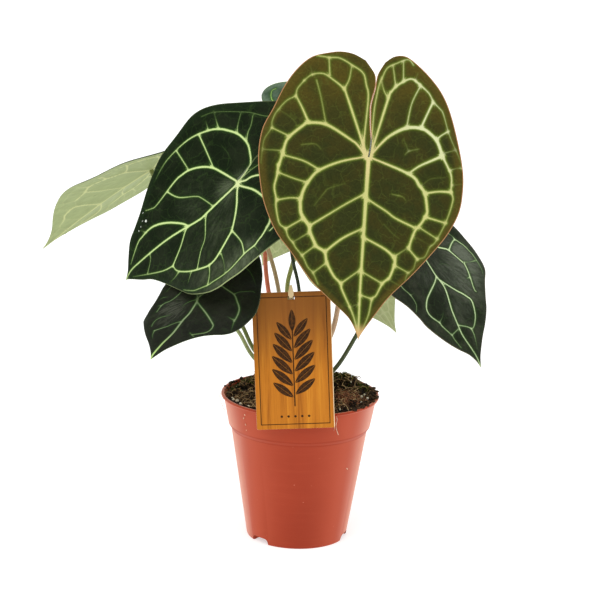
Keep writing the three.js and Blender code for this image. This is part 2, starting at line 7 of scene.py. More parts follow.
import bmesh
import bpy
import numpy as np
from mathutils import Matrix, Vector, noise


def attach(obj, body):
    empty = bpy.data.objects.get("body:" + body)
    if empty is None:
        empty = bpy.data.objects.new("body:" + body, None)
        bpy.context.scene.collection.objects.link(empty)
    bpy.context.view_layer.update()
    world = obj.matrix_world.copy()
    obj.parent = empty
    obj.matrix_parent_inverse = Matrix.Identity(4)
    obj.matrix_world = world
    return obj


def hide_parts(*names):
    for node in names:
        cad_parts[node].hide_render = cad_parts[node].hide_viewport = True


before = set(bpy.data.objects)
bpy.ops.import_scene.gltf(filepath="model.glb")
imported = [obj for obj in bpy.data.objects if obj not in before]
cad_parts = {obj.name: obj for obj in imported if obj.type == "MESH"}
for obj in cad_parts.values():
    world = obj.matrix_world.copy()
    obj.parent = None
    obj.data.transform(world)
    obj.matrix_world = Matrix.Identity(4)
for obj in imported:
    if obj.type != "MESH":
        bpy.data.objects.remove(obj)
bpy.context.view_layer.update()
mm = 0.001
up = Vector((0, 0, 1))


# camera, light and floor

studio = {
    "cameraPlace": (-0.00206, -1.374, 0.5118),
    "cameraTilt": 76.6,
    "cameraRoll": 1.6,
    "lens": 112.62,
    "worldStrength": 1.0,
    "frontStrength": 0.4,
    "floorSize": 9.0,
    "floorTones": ((196, 197, 196), (206, 206, 206)),
    "floorGlow": 0.55,
    # each lamp: where it shines from, strength, angular size in degrees
    "lamps": [((-0.4, -1.0, 1.3), 1.5, 50), ((1.2, -0.3, 0.9), 0.4, 60)],
}


def tone(red, green, blue):
    # screen values 0 to 255 as the linear colour that a shader takes
    linear = [((value / 255 + 0.055) / 1.055) ** 2.4 for value in (red, green, blue)]
    return (*linear, 1.0)


def addNode(material, kind, inputs=None, **settings):
    made = material.node_tree.nodes.new(kind)
    for key, value in settings.items():
        setattr(made, key, value)
    for key, value in (inputs or {}).items():
        if isinstance(value, bpy.types.NodeSocket):
            material.node_tree.links.new(value, made.inputs[key])
        else:
            made.inputs[key].default_value = value
    return made


def newMaterial(name, roughness, specular):
    material = bpy.data.materials.new(name)
    material.use_nodes = True
    shader = material.node_tree.nodes["Principled BSDF"]
    shader.inputs["Roughness"].default_value = roughness
    shader.inputs["Specular IOR Level"].default_value = specular
    return material, shader


def plug(material, socket, shader, name):
    material.node_tree.links.new(socket, shader.inputs[name])


def calc(material, operation, first, second=0.0):
    return addNode(material, "ShaderNodeMath", {0: first, 1: second}, operation=operation).outputs[0]


def times(material, first, second):
    return calc(material, "MULTIPLY", first, second)


def axisOf(material, vector, axis):
    return addNode(material, "ShaderNodeSeparateXYZ", {0: vector}).outputs[axis]


def fade(material, value, start, stop, low=0.0, high=1.0):
    # runs smoothly from low at start to high at stop
    inputs = {"Value": value, "From Min": start, "From Max": stop, "To Min": low, "To Max": high}
    made = addNode(material, "ShaderNodeMapRange", inputs, interpolation_type="SMOOTHSTEP")
    return made.outputs[0]


def mixTone(material, amount, first, second, blend="MIX"):
    inputs = {0: amount, 6: first, 7: second}
    made = addNode(material, "ShaderNodeMix", inputs, data_type="RGBA", blend_type=blend)
    return made.outputs[2]


def grain(material, vector, scale, detail=3.0, rough=0.55, stretch=(1, 1, 1), warp=0.0):
    placed = addNode(material, "ShaderNodeMapping", {"Vector": vector, "Scale": stretch})
    inputs = {"Vector": placed.outputs[0], "Scale": scale, "Detail": detail,
              "Roughness": rough, "Distortion": warp}
    return addNode(material, "ShaderNodeTexNoise", inputs).outputs[0]


def objectPlace(material):
    return addNode(material, "ShaderNodeTexCoord").outputs["Object"]


def reading(material, name, output="Fac"):
    # an attribute that the mesh carries
    return addNode(material, "ShaderNodeAttribute", attribute_name=name).outputs[output]


def bumped(material, shader, height, distance, strength=1.0):
    inputs = {"Height": height, "Distance": distance, "Strength": strength}
    made = addNode(material, "ShaderNodeBump", inputs)
    plug(material, made.outputs[0], shader, "Normal")


def toPiece(name, mesh, material, slot, *nodes):
    piece = bpy.data.objects.new(name, mesh)
    bpy.context.scene.collection.objects.link(piece)
    mesh.materials.append(material)
    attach(piece, "root")
    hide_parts(*nodes)
    return piece


def toMesh(made, name, sharp=180):
    # a finished bmesh as a smooth-shaded mesh, with edges over the sharp angle kept crisp
    for face in made.faces:
        face.smooth = True
    for edge in made.edges:
        if edge.is_manifold and math.degrees(edge.calc_face_angle(0)) > sharp:
            edge.smooth = False
    mesh = bpy.data.meshes.new(name)
    made.to_mesh(mesh)
    made.free()
    return mesh


def toMetres(made):
    bmesh.ops.scale(made, vec=(mm, mm, mm), verts=made.verts)


def closedMesh(made, name, sharp=180):
    # a closed bmesh in millimetres as a mesh in metres with its faces outwards
    bmesh.ops.recalc_face_normals(made, faces=made.faces)
    toMetres(made)
    return toMesh(made, name, sharp)


def vertsOf(grown):
    return [item for item in grown["geom"] if isinstance(item, bmesh.types.BMVert)]


def raiseFaces(made, faces, offset):
    grown = bmesh.ops.extrude_face_region(made, geom=faces)
    bmesh.ops.translate(made, vec=offset, verts=vertsOf(grown))


def bevelEdges(made, edges, offset, segments):
    return bmesh.ops.bevel(made, geom=edges, offset=offset, segments=segments, profile=0.5,
                           affect="EDGES", material=-1)


def spinProfile(made, profile, steps):
    # spins radii and heights once round the z axis
    points = [made.verts.new((radius, 0, height)) for radius, height in profile]
    edges = [made.edges.new(pair) for pair in zip(points, points[1:])]
    bmesh.ops.spin(made, geom=points + edges, cent=(0, 0, 0), axis=(0, 0, 1),
                   angle=math.tau, steps=steps, use_merge=True)
    bmesh.ops.remove_doubles(made, verts=made.verts, dist=1e-4)


def makeStudio():
    cameraData = bpy.data.cameras.new("camera")
    cameraData.lens = studio["lens"]
    cameraData.clip_end = 50
    camera = bpy.data.objects.new("camera", cameraData)
    bpy.context.scene.collection.objects.link(camera)
    tilt = Matrix.Rotation(math.radians(studio["cameraTilt"]), 4, "X")
    roll = Matrix.Rotation(math.radians(studio["cameraRoll"]), 4, "Z")
    camera.matrix_world = Matrix.Translation(studio["cameraPlace"]) @ tilt @ roll
    bpy.context.scene.camera = camera
    bpy.context.scene.view_settings.view_transform = "Standard"

    world = bpy.data.worlds.new("studio")
    world.use_nodes = True
    background = world.node_tree.nodes["Background"]
    background.inputs["Color"].default_value = (1, 1, 1, 1)
    # dim in front, so that gloss shows bright sides and a quiet middle
    frontness = axisOf(world, addNode(world, "ShaderNodeTexCoord").outputs["Generated"], "Y")
    strength = fade(world, frontness, -1.0, -0.3, studio["frontStrength"], studio["worldStrength"])
    world.node_tree.links.new(strength, background.inputs["Strength"])
    bpy.context.scene.world = world

    for number, (place, strength, size) in enumerate(studio["lamps"]):
        lampData = bpy.data.lights.new(f"lamp{number}", "SUN")
        lampData.energy = strength
        lampData.angle = math.radians(size)
        lamp = bpy.data.objects.new(f"lamp{number}", lampData)
        lamp.rotation_euler = Vector(place).to_track_quat("Z", "Y").to_euler()
        bpy.context.scene.collection.objects.link(lamp)

    made = bmesh.new()
    bmesh.ops.create_grid(made, x_segments=4, y_segments=4, size=studio["floorSize"])
    material, shader = newMaterial("floor", 0.8, 0.2)
    dust = grain(material, objectPlace(material), 3.0)
    paper, fleck = (tone(*value) for value in studio["floorTones"])
    plug(material, mixTone(material, dust, paper, fleck), shader, "Base Color")
    # lit paper, which throws little of the pot's colour back
    shader.inputs["Emission Color"].default_value = (1, 1, 1, 1)
    shader.inputs["Emission Strength"].default_value = studio["floorGlow"]
    floor = bpy.data.objects.new("floor", toMesh(made, "floor"))
    floor.data.materials.append(material)
    bpy.context.scene.collection.objects.link(floor)


makeStudio()
print("studio ready")


# curves

def smoothLine(points, perSegment):
    # a Catmull-Rom curve through flat points, as the solids' outlines are drawn
    places = np.array(points, float)
    padded = np.vstack([places[:1], places, places[-1:]])
    steps = np.linspace(0, 1, perSegment, endpoint=False)[:, None]
    parts = []
    for before, start, end, after in zip(padded, padded[1:], padded[2:], padded[3:]):
        leaving = (end - before) / 2
        arriving = (after - start) / 2
        cubic = (2 * start - 2 * end + leaving + arriving) * steps ** 3
        square = (3 * end - 3 * start - 2 * leaving - arriving) * steps ** 2
        parts.append(cubic + square + leaving * steps + start)
    return np.vstack(parts + [places[-1:]])


def runLength(line):
    # how far along the line each of its points lies
    return np.concatenate([[0], np.cumsum(np.linalg.norm(np.diff(line, axis=0), axis=1))])


def along(line, shares):
    # points at these shares of the line's length
    run = runLength(line)
    return np.stack([np.interp(shares * run[-1], run, line[:, axis]) for axis in (0, 1)], -1)


# the nets of veins, in thousandths of a blade from the junction (0, 0) to the tip (0, -1000)
# each vein: half widths in millimetres at its start, middle and end on a blade of
# 130 mm, then the points that it passes; a width under 0.3 is only a faint line

midrib = [
    ((1.95, 1.45, 0.8), [(0, 12), (-3, -300), (-5, -750), (0, -1000)]),
]

bronzeLeft = [
    ((0.85, 0.85, 0.7), [(-5, 5), (-20, 35), (-30, 85), (-20, 330), (-35, 405), (-55, 470), (-115, 510),
        (-185, 545), (-245, 545), (-310, 550)]),
    ((1, 1.15, 0.5), [(-15, 0), (-50, 110), (-140, 345), (-155, 375), (-215, 420), (-270, 450),
        (-330, 440), (-370, 405)]),
    ((0.6, 0.5, 0.3), [(-370, 405), (-405, 355), (-415, 315), (-460, 285), (-510, 220), (-530, 165),
        (-530, 130), (-560, 75), (-570, 35), (-575, -70)]),
    ((0.95, 1.4, 1.2), [(-15, 5), (-65, 65), (-100, 90), (-235, 165), (-335, 170), (-360, 155),
        (-415, 105), (-435, 80), (-450, 50), (-470, -45), (-480, -75)]),
    ((1.1, 0.7, 0.45), [(-480, -75), (-485, -135), (-495, -195), (-480, -260), (-480, -295),
        (-465, -365), (-450, -400), (-420, -420), (-410, -450), (-395, -475), (-375, -495),
        (-360, -520), (-320, -565), (-290, -620), (-260, -650), (-230, -710)]),
    ((0.9, 1.65, 0.6), [(-20, 0), (-150, -35), (-260, -90), (-305, -140), (-335, -195), (-350, -255),
        (-350, -285), (-345, -325), (-330, -355), (-295, -400), (-290, -430), (-260, -490),
        (-245, -510), (-205, -535), (-190, -590), (-150, -660), (-110, -700), (-100, -735), (-35, -865),
        (-5, -965)]),
    ((0.9, 0.8, 1), [(-10, -205), (-105, -265), (-290, -395)]),
    ((0.8, 1.05, 1.1), [(-10, -395), (-115, -455), (-200, -530)]),
    ((0.6, 0.7, 0.8), [(-10, -620), (-110, -700)]),
    ((0.3, 0.3, 0.2), [(-10, -805), (-60, -825)]),
    ((0.9, 0.8, 0.8), [(-265, -85), (-345, -45), (-450, -20), (-460, -10)]),
    ((0.7, 0.65, 0.7), [(-320, -160), (-385, -145), (-480, -115)]),
    ((0.8, 0.7, 0.8), [(-350, -250), (-410, -250), (-475, -265)]),
    ((0.8, 0.7, 0.8), [(-330, -360), (-420, -420)]),
    ((0.5, 0.4, 0.35), [(-295, -435), (-375, -490)]),
    ((0.65, 0.55, 0.6), [(-260, -505), (-325, -560)]),
    ((0.6, 0.55, 0.5), [(-190, -590), (-260, -650)]),
    ((0.5, 0.45, 0.5), [(-305, 410), (-275, 315), (-240, 170)]),
    ((0.8, 0.95, 1.1), [(-410, 315), (-375, 255), (-335, 175)]),
    ((0.6, 0.6, 0.7), [(-530, 130), (-435, 90)]),
    ((0.3, 0.35, 0.5), [(-570, 5), (-460, 5)]),
    ((0.5, 0.6, 0.8), [(-120, 500), (-130, 425), (-155, 370)]),
    ((0.3, 0.35, 0.2), [(-365, 45), (-300, 55), (-275, 45), (-260, 30)]),
    ((0.15, 0.3, 0.15), [(-275, -285), (-225, -210), (-200, -185), (-120, -155)]),
    ((0.15, 0.2, 0.15), [(-490, 230), (-425, 190), (-400, 160)]),
    ((0.7, 0.5, 0.6), [(-235, 450), (-245, 540)]),
    ((0.3, 0.2, 0.1), [(-325, 435), (-345, 490)]),
]

bronzeRight = [
    ((0.75, 0.7, 0.6), [(5, 15), (10, 70), (15, 255), (25, 350), (35, 410), (50, 455), (75, 510),
        (125, 540), (185, 565), (215, 535)]),
    ((0.85, 1.2, 0.9), [(10, 15), (90, 345), (100, 370), (135, 415), (205, 455), (255, 425)]),
    ((0.9, 0.5, 0.3), [(255, 425), (305, 380), (335, 330), (370, 295), (390, 265), (430, 140),
        (490, 10), (505, -45)]),
    ((0.85, 1.6, 1.45), [(10, 10), (90, 110), (170, 165), (225, 180), (285, 175), (330, 145),
        (365, 105), (395, 25)]),
    ((1.1, 0.55, 0.35), [(395, 25), (435, -50), (445, -75), (450, -105), (450, -165), (460, -195),
        (460, -225), (440, -305), (410, -385), (375, -455), (350, -480), (325, -535), (285, -550),
        (270, -600), (240, -630), (230, -665)]),
    ((0.9, 1.45, 1), [(5, 0), (225, -85), (280, -145), (310, -185), (325, -265), (325, -300),
        (300, -350), (265, -400), (240, -485)]),
    ((0.9, 0.9, 1), [(-10, -220), (35, -250), (110, -295), (160, -330), (260, -375)]),
    ((0.95, 1, 1.2), [(-10, -440), (110, -500), (165, -545)]),
    ((1.35, 0.85, 0.4), [(165, -545), (170, -575), (150, -645), (135, -665), (110, -690), (80, -755),
        (60, -775), (45, -865), (10, -960)]),
    ((0.6, 0.65, 0.7), [(-10, -625), (110, -690)]),
    ((0.6, 0.6, 0.7), [(-5, -755), (60, -775)]),
    ((0.9, 1.05, 1.4), [(220, -80), (275, -35), (390, 25)]),
    ((1.1, 0.95, 1.2), [(310, -185), (385, -170), (450, -170)]),
    ((1, 0.75, 0.8), [(315, -315), (430, -345)]),
    ((0.65, 0.5, 0.55), [(290, -375), (390, -435)]),
    ((0.15, 0.2, 0.1), [(265, -425), (355, -470)]),
    ((0.8, 0.7, 0.8), [(235, -490), (290, -550)]),
    ((0.3, 0.35, 0.6), [(240, -485), (165, -540)]),
    ((0.6, 0.5, 0.5), [(165, -585), (245, -625)]),
    ((0.3, 0.3, 0.2), [(140, -665), (200, -695)]),
    ((0.7, 0.6, 0.7), [(255, 410), (215, 310), (195, 175)]),
    ((1.1, 0.95, 1.1), [(330, 330), (285, 215), (275, 180)]),
    ((0.8, 0.75, 0.9), [(420, 170), (385, 145), (360, 120)]),
    ((0.3, 0.25, 0.4), [(465, 65), (390, 40)]),
    ((0.5, 0.3, 0.5), [(505, -35), (480, -35), (435, -50)]),
    ((0.15, 0.15, 0.3), [(510, -120), (455, -130)]),
    ((0.3, 0.5, 0.7), [(45, 450), (60, 385), (85, 340)]),
    ((0.3, 0.35, 0.3), [(195, 25), (215, 45), (265, 60)]),
    ((0.15, 0.2, 0.25), [(180, 115), (210, 50)]),
    ((0.3, 0.4, 0.2), [(135, -200), (190, -210), (210, -230)]),
    ((0.2, 0.2, 0.15), [(295, -140), (320, -115), (345, -100), (415, -90)]),
    ((0.15, 0.2, 0.15), [(100, -365), (150, -415), (185, -440)]),
    ((0.7, 0.5, 0.5), [(125, 405), (105, 520)]),
    ((0.7, 0.5, 0.5), [(165, 435), (160, 550)]),
    ((0.3, 0.25, 0.2), [(230, 440), (240, 490)]),
]

greenNet = [
    ((1.25, 1.15, 0.75), [(0, 0), (20, -55), (55, -265), (55, -335), (15, -565), (-10, -835),
        (-15, -920), (0, -1000)]),
    ((1.1, 1.15, 0.45), [(0, 0), (-130, -80), (-180, -115), (-220, -160), (-250, -215), (-265, -270),
        (-265, -320), (-260, -370), (-215, -550), (-220, -600), (-235, -640)]),
    ((0.8, 1.2, 0.3), [(0, 0), (-55, 90), (-85, 110), (-135, 120), (-195, 125), (-255, 110), (-305, 85),
        (-350, 45), (-380, 10), (-410, -55), (-440, -200), (-410, -345), (-345, -485)]),
    ((0.45, 0.4, 0.3), [(0, 0), (-30, 120), (-50, 300), (-90, 420), (-170, 450), (-260, 370),
        (-330, 260), (-405, 180), (-490, 30), (-510, -60)]),
    ((0.7, 0.5, 0.6), [(-420, -290), (-270, -265)]),
    ((0.9, 0.6, 0.7), [(-425, -120), (-190, -115)]),
    ((0.25, 0.3, 0.7), [(-505, 20), (-435, 10), (-385, 5)]),
    ((0.15, 0.25, 0.6), [(-475, -45), (-410, -55)]),
    ((0.35, 0.35, 0.6), [(-415, 145), (-345, 105), (-305, 90)]),
    ((0.4, 0.4, 0.6), [(-365, 200), (-310, 175), (-270, 145), (-225, 125)]),
    ((1.1, 1.1, 0.9), [(0, 0), (20, 45), (20, 85), (35, 130), (80, 220), (150, 300), (250, 320),
        (340, 280), (420, 210), (470, 140)]),
    ((1.1, 1.15, 1.4), [(0, 0), (30, 5), (120, 85), (230, 140), (310, 155), (395, 145), (430, 125)]),
    ((1.2, 0.75, 0.4), [(430, 125), (470, 95), (495, 60), (510, 30), (505, -65), (520, -210),
        (515, -315), (510, -360), (470, -460), (425, -520), (385, -565)]),
    ((1.1, 1.2, 0.7), [(0, 0), (70, -25), (130, -40), (185, -60), (235, -85), (280, -115), (310, -155),
        (375, -250), (390, -290), (390, -315), (380, -355), (320, -470), (245, -570), (190, -595)]),
    ((0.8, 0.6, 0.3), [(190, -595), (155, -700), (25, -930)]),
    ((0.9, 0.7, 0.9), [(280, -115), (395, -65), (450, -55), (500, -55)]),
    ((0.6, 0.55, 0.8), [(35, -200), (-60, -255), (-95, -290), (-160, -395), (-235, -450)]),
    ((1.1, 1.1, 0.4), [(45, -400), (10, -425), (-30, -470), (-70, -525), (-100, -580), (-120, -635),
        (-125, -685), (-120, -740), (-110, -790), (-45, -905)]),
    ((0.2, 0.3, 0.5), [(-165, -740), (-140, -715), (-120, -700)]),
    ((0.8, 0.55, 0.7), [(60, -255), (95, -275), (200, -310), (255, -360), (345, -415)]),
    ((0.9, 0.8, 0.9), [(45, -410), (65, -440), (125, -500), (190, -595)]),
    ((0.5, 0.4, 0.5), [(0, -735), (40, -750), (90, -805)]),
    ((0.8, 0.5, 0.7), [(390, -315), (440, -325), (480, -340), (510, -360)]),
    ((0.1, 0.2, 0.1), [(-285, -20), (-205, 0), (-170, -10), (-140, -30)]),
    ((0.6, 0.45, 0.25), [(325, -465), (375, -515)]),
    ((0.6, 0.45, 0.25), [(255, -560), (265, -605), (265, -645)]),
    ((0.6, 0.35, 0.3), [(375, -220), (440, -215), (505, -220)]),
    ((0.15, 0.2, 0.1), [(255, -115), (235, -165), (225, -205)]),
    ((0.4, 0.4, 0.3), [(515, 35), (570, 60)]),
]

lowNet = [
    ((1.7, 2, 2.1), [(0, 0), (20, -60), (30, -225), (20, -300), (10, -365), (10, -535), (0, -630),
        (-15, -720), (-20, -840), (-15, -940), (0, -1000)]),
    ((1.2, 1.3, 1.1), [(0, 0), (110, 125), (185, 155), (250, 125), (375, 45), (420, 5), (460, -50),
        (525, -150), (560, -290), (570, -350)]),
    ((0.7, 0.4, 0.2), [(570, -350), (620, -515)]),
    ((0.8, 0.5, 0.2), [(565, -340), (465, -290)]),
    ((0.8, 0.6, 0.4), [(395, 35), (430, 70), (490, 85), (555, 100), (590, 85)]),
    ((1, 1.3, 0.9), [(0, -20), (55, -95), (240, -275), (380, -425), (405, -470), (405, -520),
        (380, -560), (335, -580), (250, -605)]),
    ((0.5, 0.6, 0.5), [(210, -575), (285, -640)]),
    ((0.6, 0.9, 0.9), [(0, 0), (-80, 90), (-160, 135), (-215, 110), (-260, -10), (-290, -55),
        (-335, -80), (-360, -110), (-370, -150), (-375, -195)]),
    ((0.3, 0.6, 0.3), [(-435, -10), (-405, 15), (-350, 20)]),
    ((0.7, 0.5, 0.3), [(-360, -110), (-395, -105), (-405, -115)]),
    ((0.6, 0.6, 0.3), [(0, -30), (-55, -60), (-90, -100), (-105, -140)]),
    ((0.3, 0.8, 0.6), [(-160, -265), (-210, -290), (-260, -305), (-295, -340), (-305, -390),
        (-295, -445)]),
    ((0.8, 0.8, 1.1), [(10, -365), (-40, -390), (-80, -420), (-110, -450), (-155, -475), (-225, -515)]),
    ((0.8, 0.5, 0.3), [(-225, -515), (-210, -580), (-175, -645)]),
    ((0.5, 0.8, 0.4), [(0, 0), (-100, 220), (-240, 340), (-360, 280), (-420, 120)]),
    ((0.4, 0.6, 0.3), [(0, 0), (60, 250), (200, 420), (400, 380), (550, 200)]),
]

rightNet = [
    ((1.1, 1.05, 0.75), [(0, 0), (20, -100), (20, -235), (20, -295), (30, -345), (35, -395), (25, -445),
        (-10, -550), (-20, -600), (-30, -695), (-30, -765), (0, -905), (0, -1000)]),
    ((1, 1.15, 0.7), [(0, 0), (90, 0), (160, -50), (235, -95), (285, -115), (325, -140), (360, -250),
        (360, -290), (300, -460), (300, -490)]),
    ((0.5, 0.5, 0.6), [(300, -380), (330, -380)]),
    ((0.9, 0.75, 0.3), [(325, -140), (405, -90), (460, -70), (485, -100), (505, -135), (510, -180),
        (510, -225), (475, -340), (450, -385)]),
    ((0.9, 0.5, 0.3), [(460, -70), (460, -45), (450, -20)]),
    ((0.5, 0.35, 0.6), [(375, -255), (405, -265), (485, -270)]),
    ((1, 1.1, 0.5), [(35, -345), (125, -440), (165, -475), (195, -510), (210, -535), (205, -570),
        (170, -645), (130, -695), (95, -725), (70, -730)]),
    ((0.6, 0.6, 0.7), [(-25, -680), (45, -710), (70, -730)]),
    ((0.7, 0.45, 0.2), [(70, -730), (65, -785), (35, -875)]),
    ((0.9, 1, 0.4), [(20, -310), (-30, -350), (-150, -425), (-195, -460), (-230, -505), (-235, -540),
        (-220, -575), (-175, -625), (-165, -655), (-120, -730), (-115, -760), (-90, -830)]),
    ((0.5, 0.3, 0.15), [(-175, -625), (-135, -600), (-105, -575)]),
    ((0.5, 0.45, 0.5), [(-120, -730), (-45, -705)]),
    ((0.9, 0.9, 0.4), [(0, 0), (-120, 50), (-250, 20), (-330, -100), (-370, -230), (-375, -325),
        (-330, -395), (-315, -455), (-325, -485), (-350, -515)]),
    ((0.4, 0.2, 0.1), [(-330, -395), (-285, -390)]),
    ((0.15, 0.25, 0.15), [(120, -230), (165, -230), (205, -250), (225, -270)]),
    ((0.7, 1, 0.5), [(0, 0), (-60, 180), (-180, 300), (-320, 240), (-430, 80), (-480, -120),
        (-460, -280)]),
    ((0.7, 1, 0.5), [(0, 0), (50, 180), (160, 300), (290, 260), (400, 120), (445, -20)]),
]


def mirrored(net):
    return [(widths, [(-x, y) for x, y in points]) for widths, points in net]


bronzeNet = midrib + bronzeLeft + bronzeRight
plainNet = midrib + bronzeRight + mirrored(bronzeRight)
# only the strongest veins of a young blade
youngNet = midrib + [bronzeRight[1], bronzeRight[5]] + mirrored([bronzeRight[1], bronzeRight[5]])


# leaves: the same outlines, poses and bends as the solids; poses are in millimetres,
# outlines in thousandths of a blade

plainSinus = [(0, 0), (10, 50), (8, 220), (10, 420), (35, 490), (90, 545)]
plainMargin = [(90, 545), (170, 568), (260, 540), (360, 450), (450, 315), (520, 160), (560, 0),
    (565, -150), (530, -290), (450, -430), (340, -580), (220, -710), (110, -830), (40, -920),
    (0, -1000)]

# how a blade is coloured: the skin between the veins, its second shade and its shade by the
# margin; the crest of the lobes; the sheen where light catches it, down to streakLow of it
# in its streaks; the glow, border and core of a vein, the core near the junction, towards
# the tip and over the lit right lobe; the rims of the notch, the margin and the tip, which
# starts at tipFrom; the underside, its veins, and how far its finer ribs show; distances
# from a vein's edge and the rest of the numbers in millimetres and shares
bronzeLook = {
    "skin": (45, 49, 18), "skinPatch": (54, 52, 18), "skinEdge": (82, 71, 26),
    "crest": (80, 70, 22), "sheen": (84, 86, 56),
    "glow": (64, 78, 20), "border": (102, 117, 46), "core": (182, 182, 114),
    "coreNear": (196, 184, 126), "coreTip": (184, 184, 115), "coreLit": (196, 200, 152),
    "sinus": (84, 88, 74), "margin": (168, 122, 82), "tip": (192, 154, 104),
    "under": (168, 176, 124), "underVein": (190, 192, 140),
    "roughness": 0.55, "specular": 0.04, "rimShare": 1.0, "tipFrom": 0.9, "crestShare": 0.75,
    "streakLow": 0.55, "network": 0.06, "underFine": 0.8,
    "glowReach": 2.6, "glowShare": 0.55, "borderFrom": 0.9, "coreFrom": 0.1, "coreTo": -0.75,
}
greenLook = {
    "skin": (18, 28, 12), "skinPatch": (28, 36, 20), "skinEdge": (26, 40, 20),
    "crest": (16, 24, 10), "sheen": (84, 93, 70),
    "glow": (28, 48, 16), "border": (70, 100, 44), "core": (192, 212, 142),
    "coreNear": (198, 210, 150), "coreTip": (192, 212, 142), "coreLit": (192, 210, 146),
    "sinus": (110, 116, 100), "margin": (156, 170, 116), "tip": (184, 198, 152),
    "under": (172, 184, 134), "underVein": (194, 202, 150),
    "roughness": 0.5, "specular": 0.03, "rimShare": 0.3, "tipFrom": 0.955, "crestShare": 0.4,
    "streakLow": 0.55, "network": 0.07, "underFine": 0.8,
    "glowReach": 2.4, "glowShare": 0.6, "borderFrom": 0.6, "coreFrom": 0.05, "coreTo": -0.65,
}
duskLook = {
    **greenLook,
    "skin": (21, 24, 16), "skinPatch": (31, 33, 25), "skinEdge": (24, 30, 20),
    "sheen": (64, 67, 56),
    "glow": (28, 40, 20), "border": (52, 80, 38), "core": (128, 142, 106),
    "coreNear": (120, 138, 98), "coreTip": (176, 204, 124), "coreLit": (116, 132, 94),
    "margin": (92, 104, 74),
    "specular": 0.05, "streakLow": 0.15,
}
slateLook = {
    **greenLook,
    "skin": (28, 35, 21), "skinPatch": (50, 54, 41), "skinEdge": (42, 48, 36),
    "sheen": (92, 98, 84),
    "glow": (38, 54, 28), "border": (74, 104, 56), "core": (204, 222, 172),
    "coreNear": (184, 202, 152), "coreTip": (190, 208, 158), "coreLit": (204, 222, 172),
    "margin": (112, 100, 78),
    "rimShare": 0.6,
}
deepLook = {
    **greenLook,
    "skin": (50, 74, 52), "skinPatch": (90, 108, 92), "skinEdge": (108, 128, 106),
    "glow": (48, 78, 40), "core": (170, 214, 112), "coreNear": (170, 214, 112),
    "rimShare": 0.9,
}
paleLook = {
    **greenLook,
    "under": (164, 177, 127), "underVein": (204, 210, 152),
    "underFine": 0.25,
}
shadedLook = {
    **greenLook,
    "under": (196, 207, 154), "underVein": (214, 220, 176),
    "underFine": 1.0,
}

# where light catches a blade: place in blade lengths, spread, strength
leftSheen = [(0, -0.08, 0.07, 0.8), (-0.02, 0.03, 0.06, 0.5), (0.2, -0.2, 0.2, 0.4),
             (0.54, -0.02, 0.12, 0.8), (0.54, -0.2, 0.12, 0.7), (0.48, -0.38, 0.13, 0.45),
             (-0.08, -0.35, 0.14, 0.35), (0.25, -0.6, 0.16, 0.35), (-0.2, -0.15, 0.12, 0.2)]
lowSheen = [(-0.2, -0.12, 0.13, 0.9), (-0.15, -0.25, 0.13, 0.7), (-0.17, -0.4, 0.14, 0.6),
            (0.12, -0.45, 0.15, 0.35), (-0.3, -0.2, 0.12, 0.4)]
rightSheen = [(0.42, -0.17, 0.11, 1.2), (0.2, -0.3, 0.2, 0.5), (0.27, -0.47, 0.16, 0.4),
              (-0.1, -0.3, 0.15, 0.4), (0.02, -0.6, 0.14, 0.4), (0.4, -0.32, 0.1, 0.6)]
leftFlecks = [(-0.235, -0.665, 0.005, 1), (-0.18, -0.667, 0.009, 1), (-0.195, -0.69, 0.005, 1),
              (-0.175, -0.72, 0.004, 1), (-0.165, -0.745, 0.004, 1)]
frontSheen = [(-0.46, -0.03, 0.06, 0.25), (-0.12, -0.35, 0.1, 0.2), (0.2, -0.14, 0.1, 0.15)]

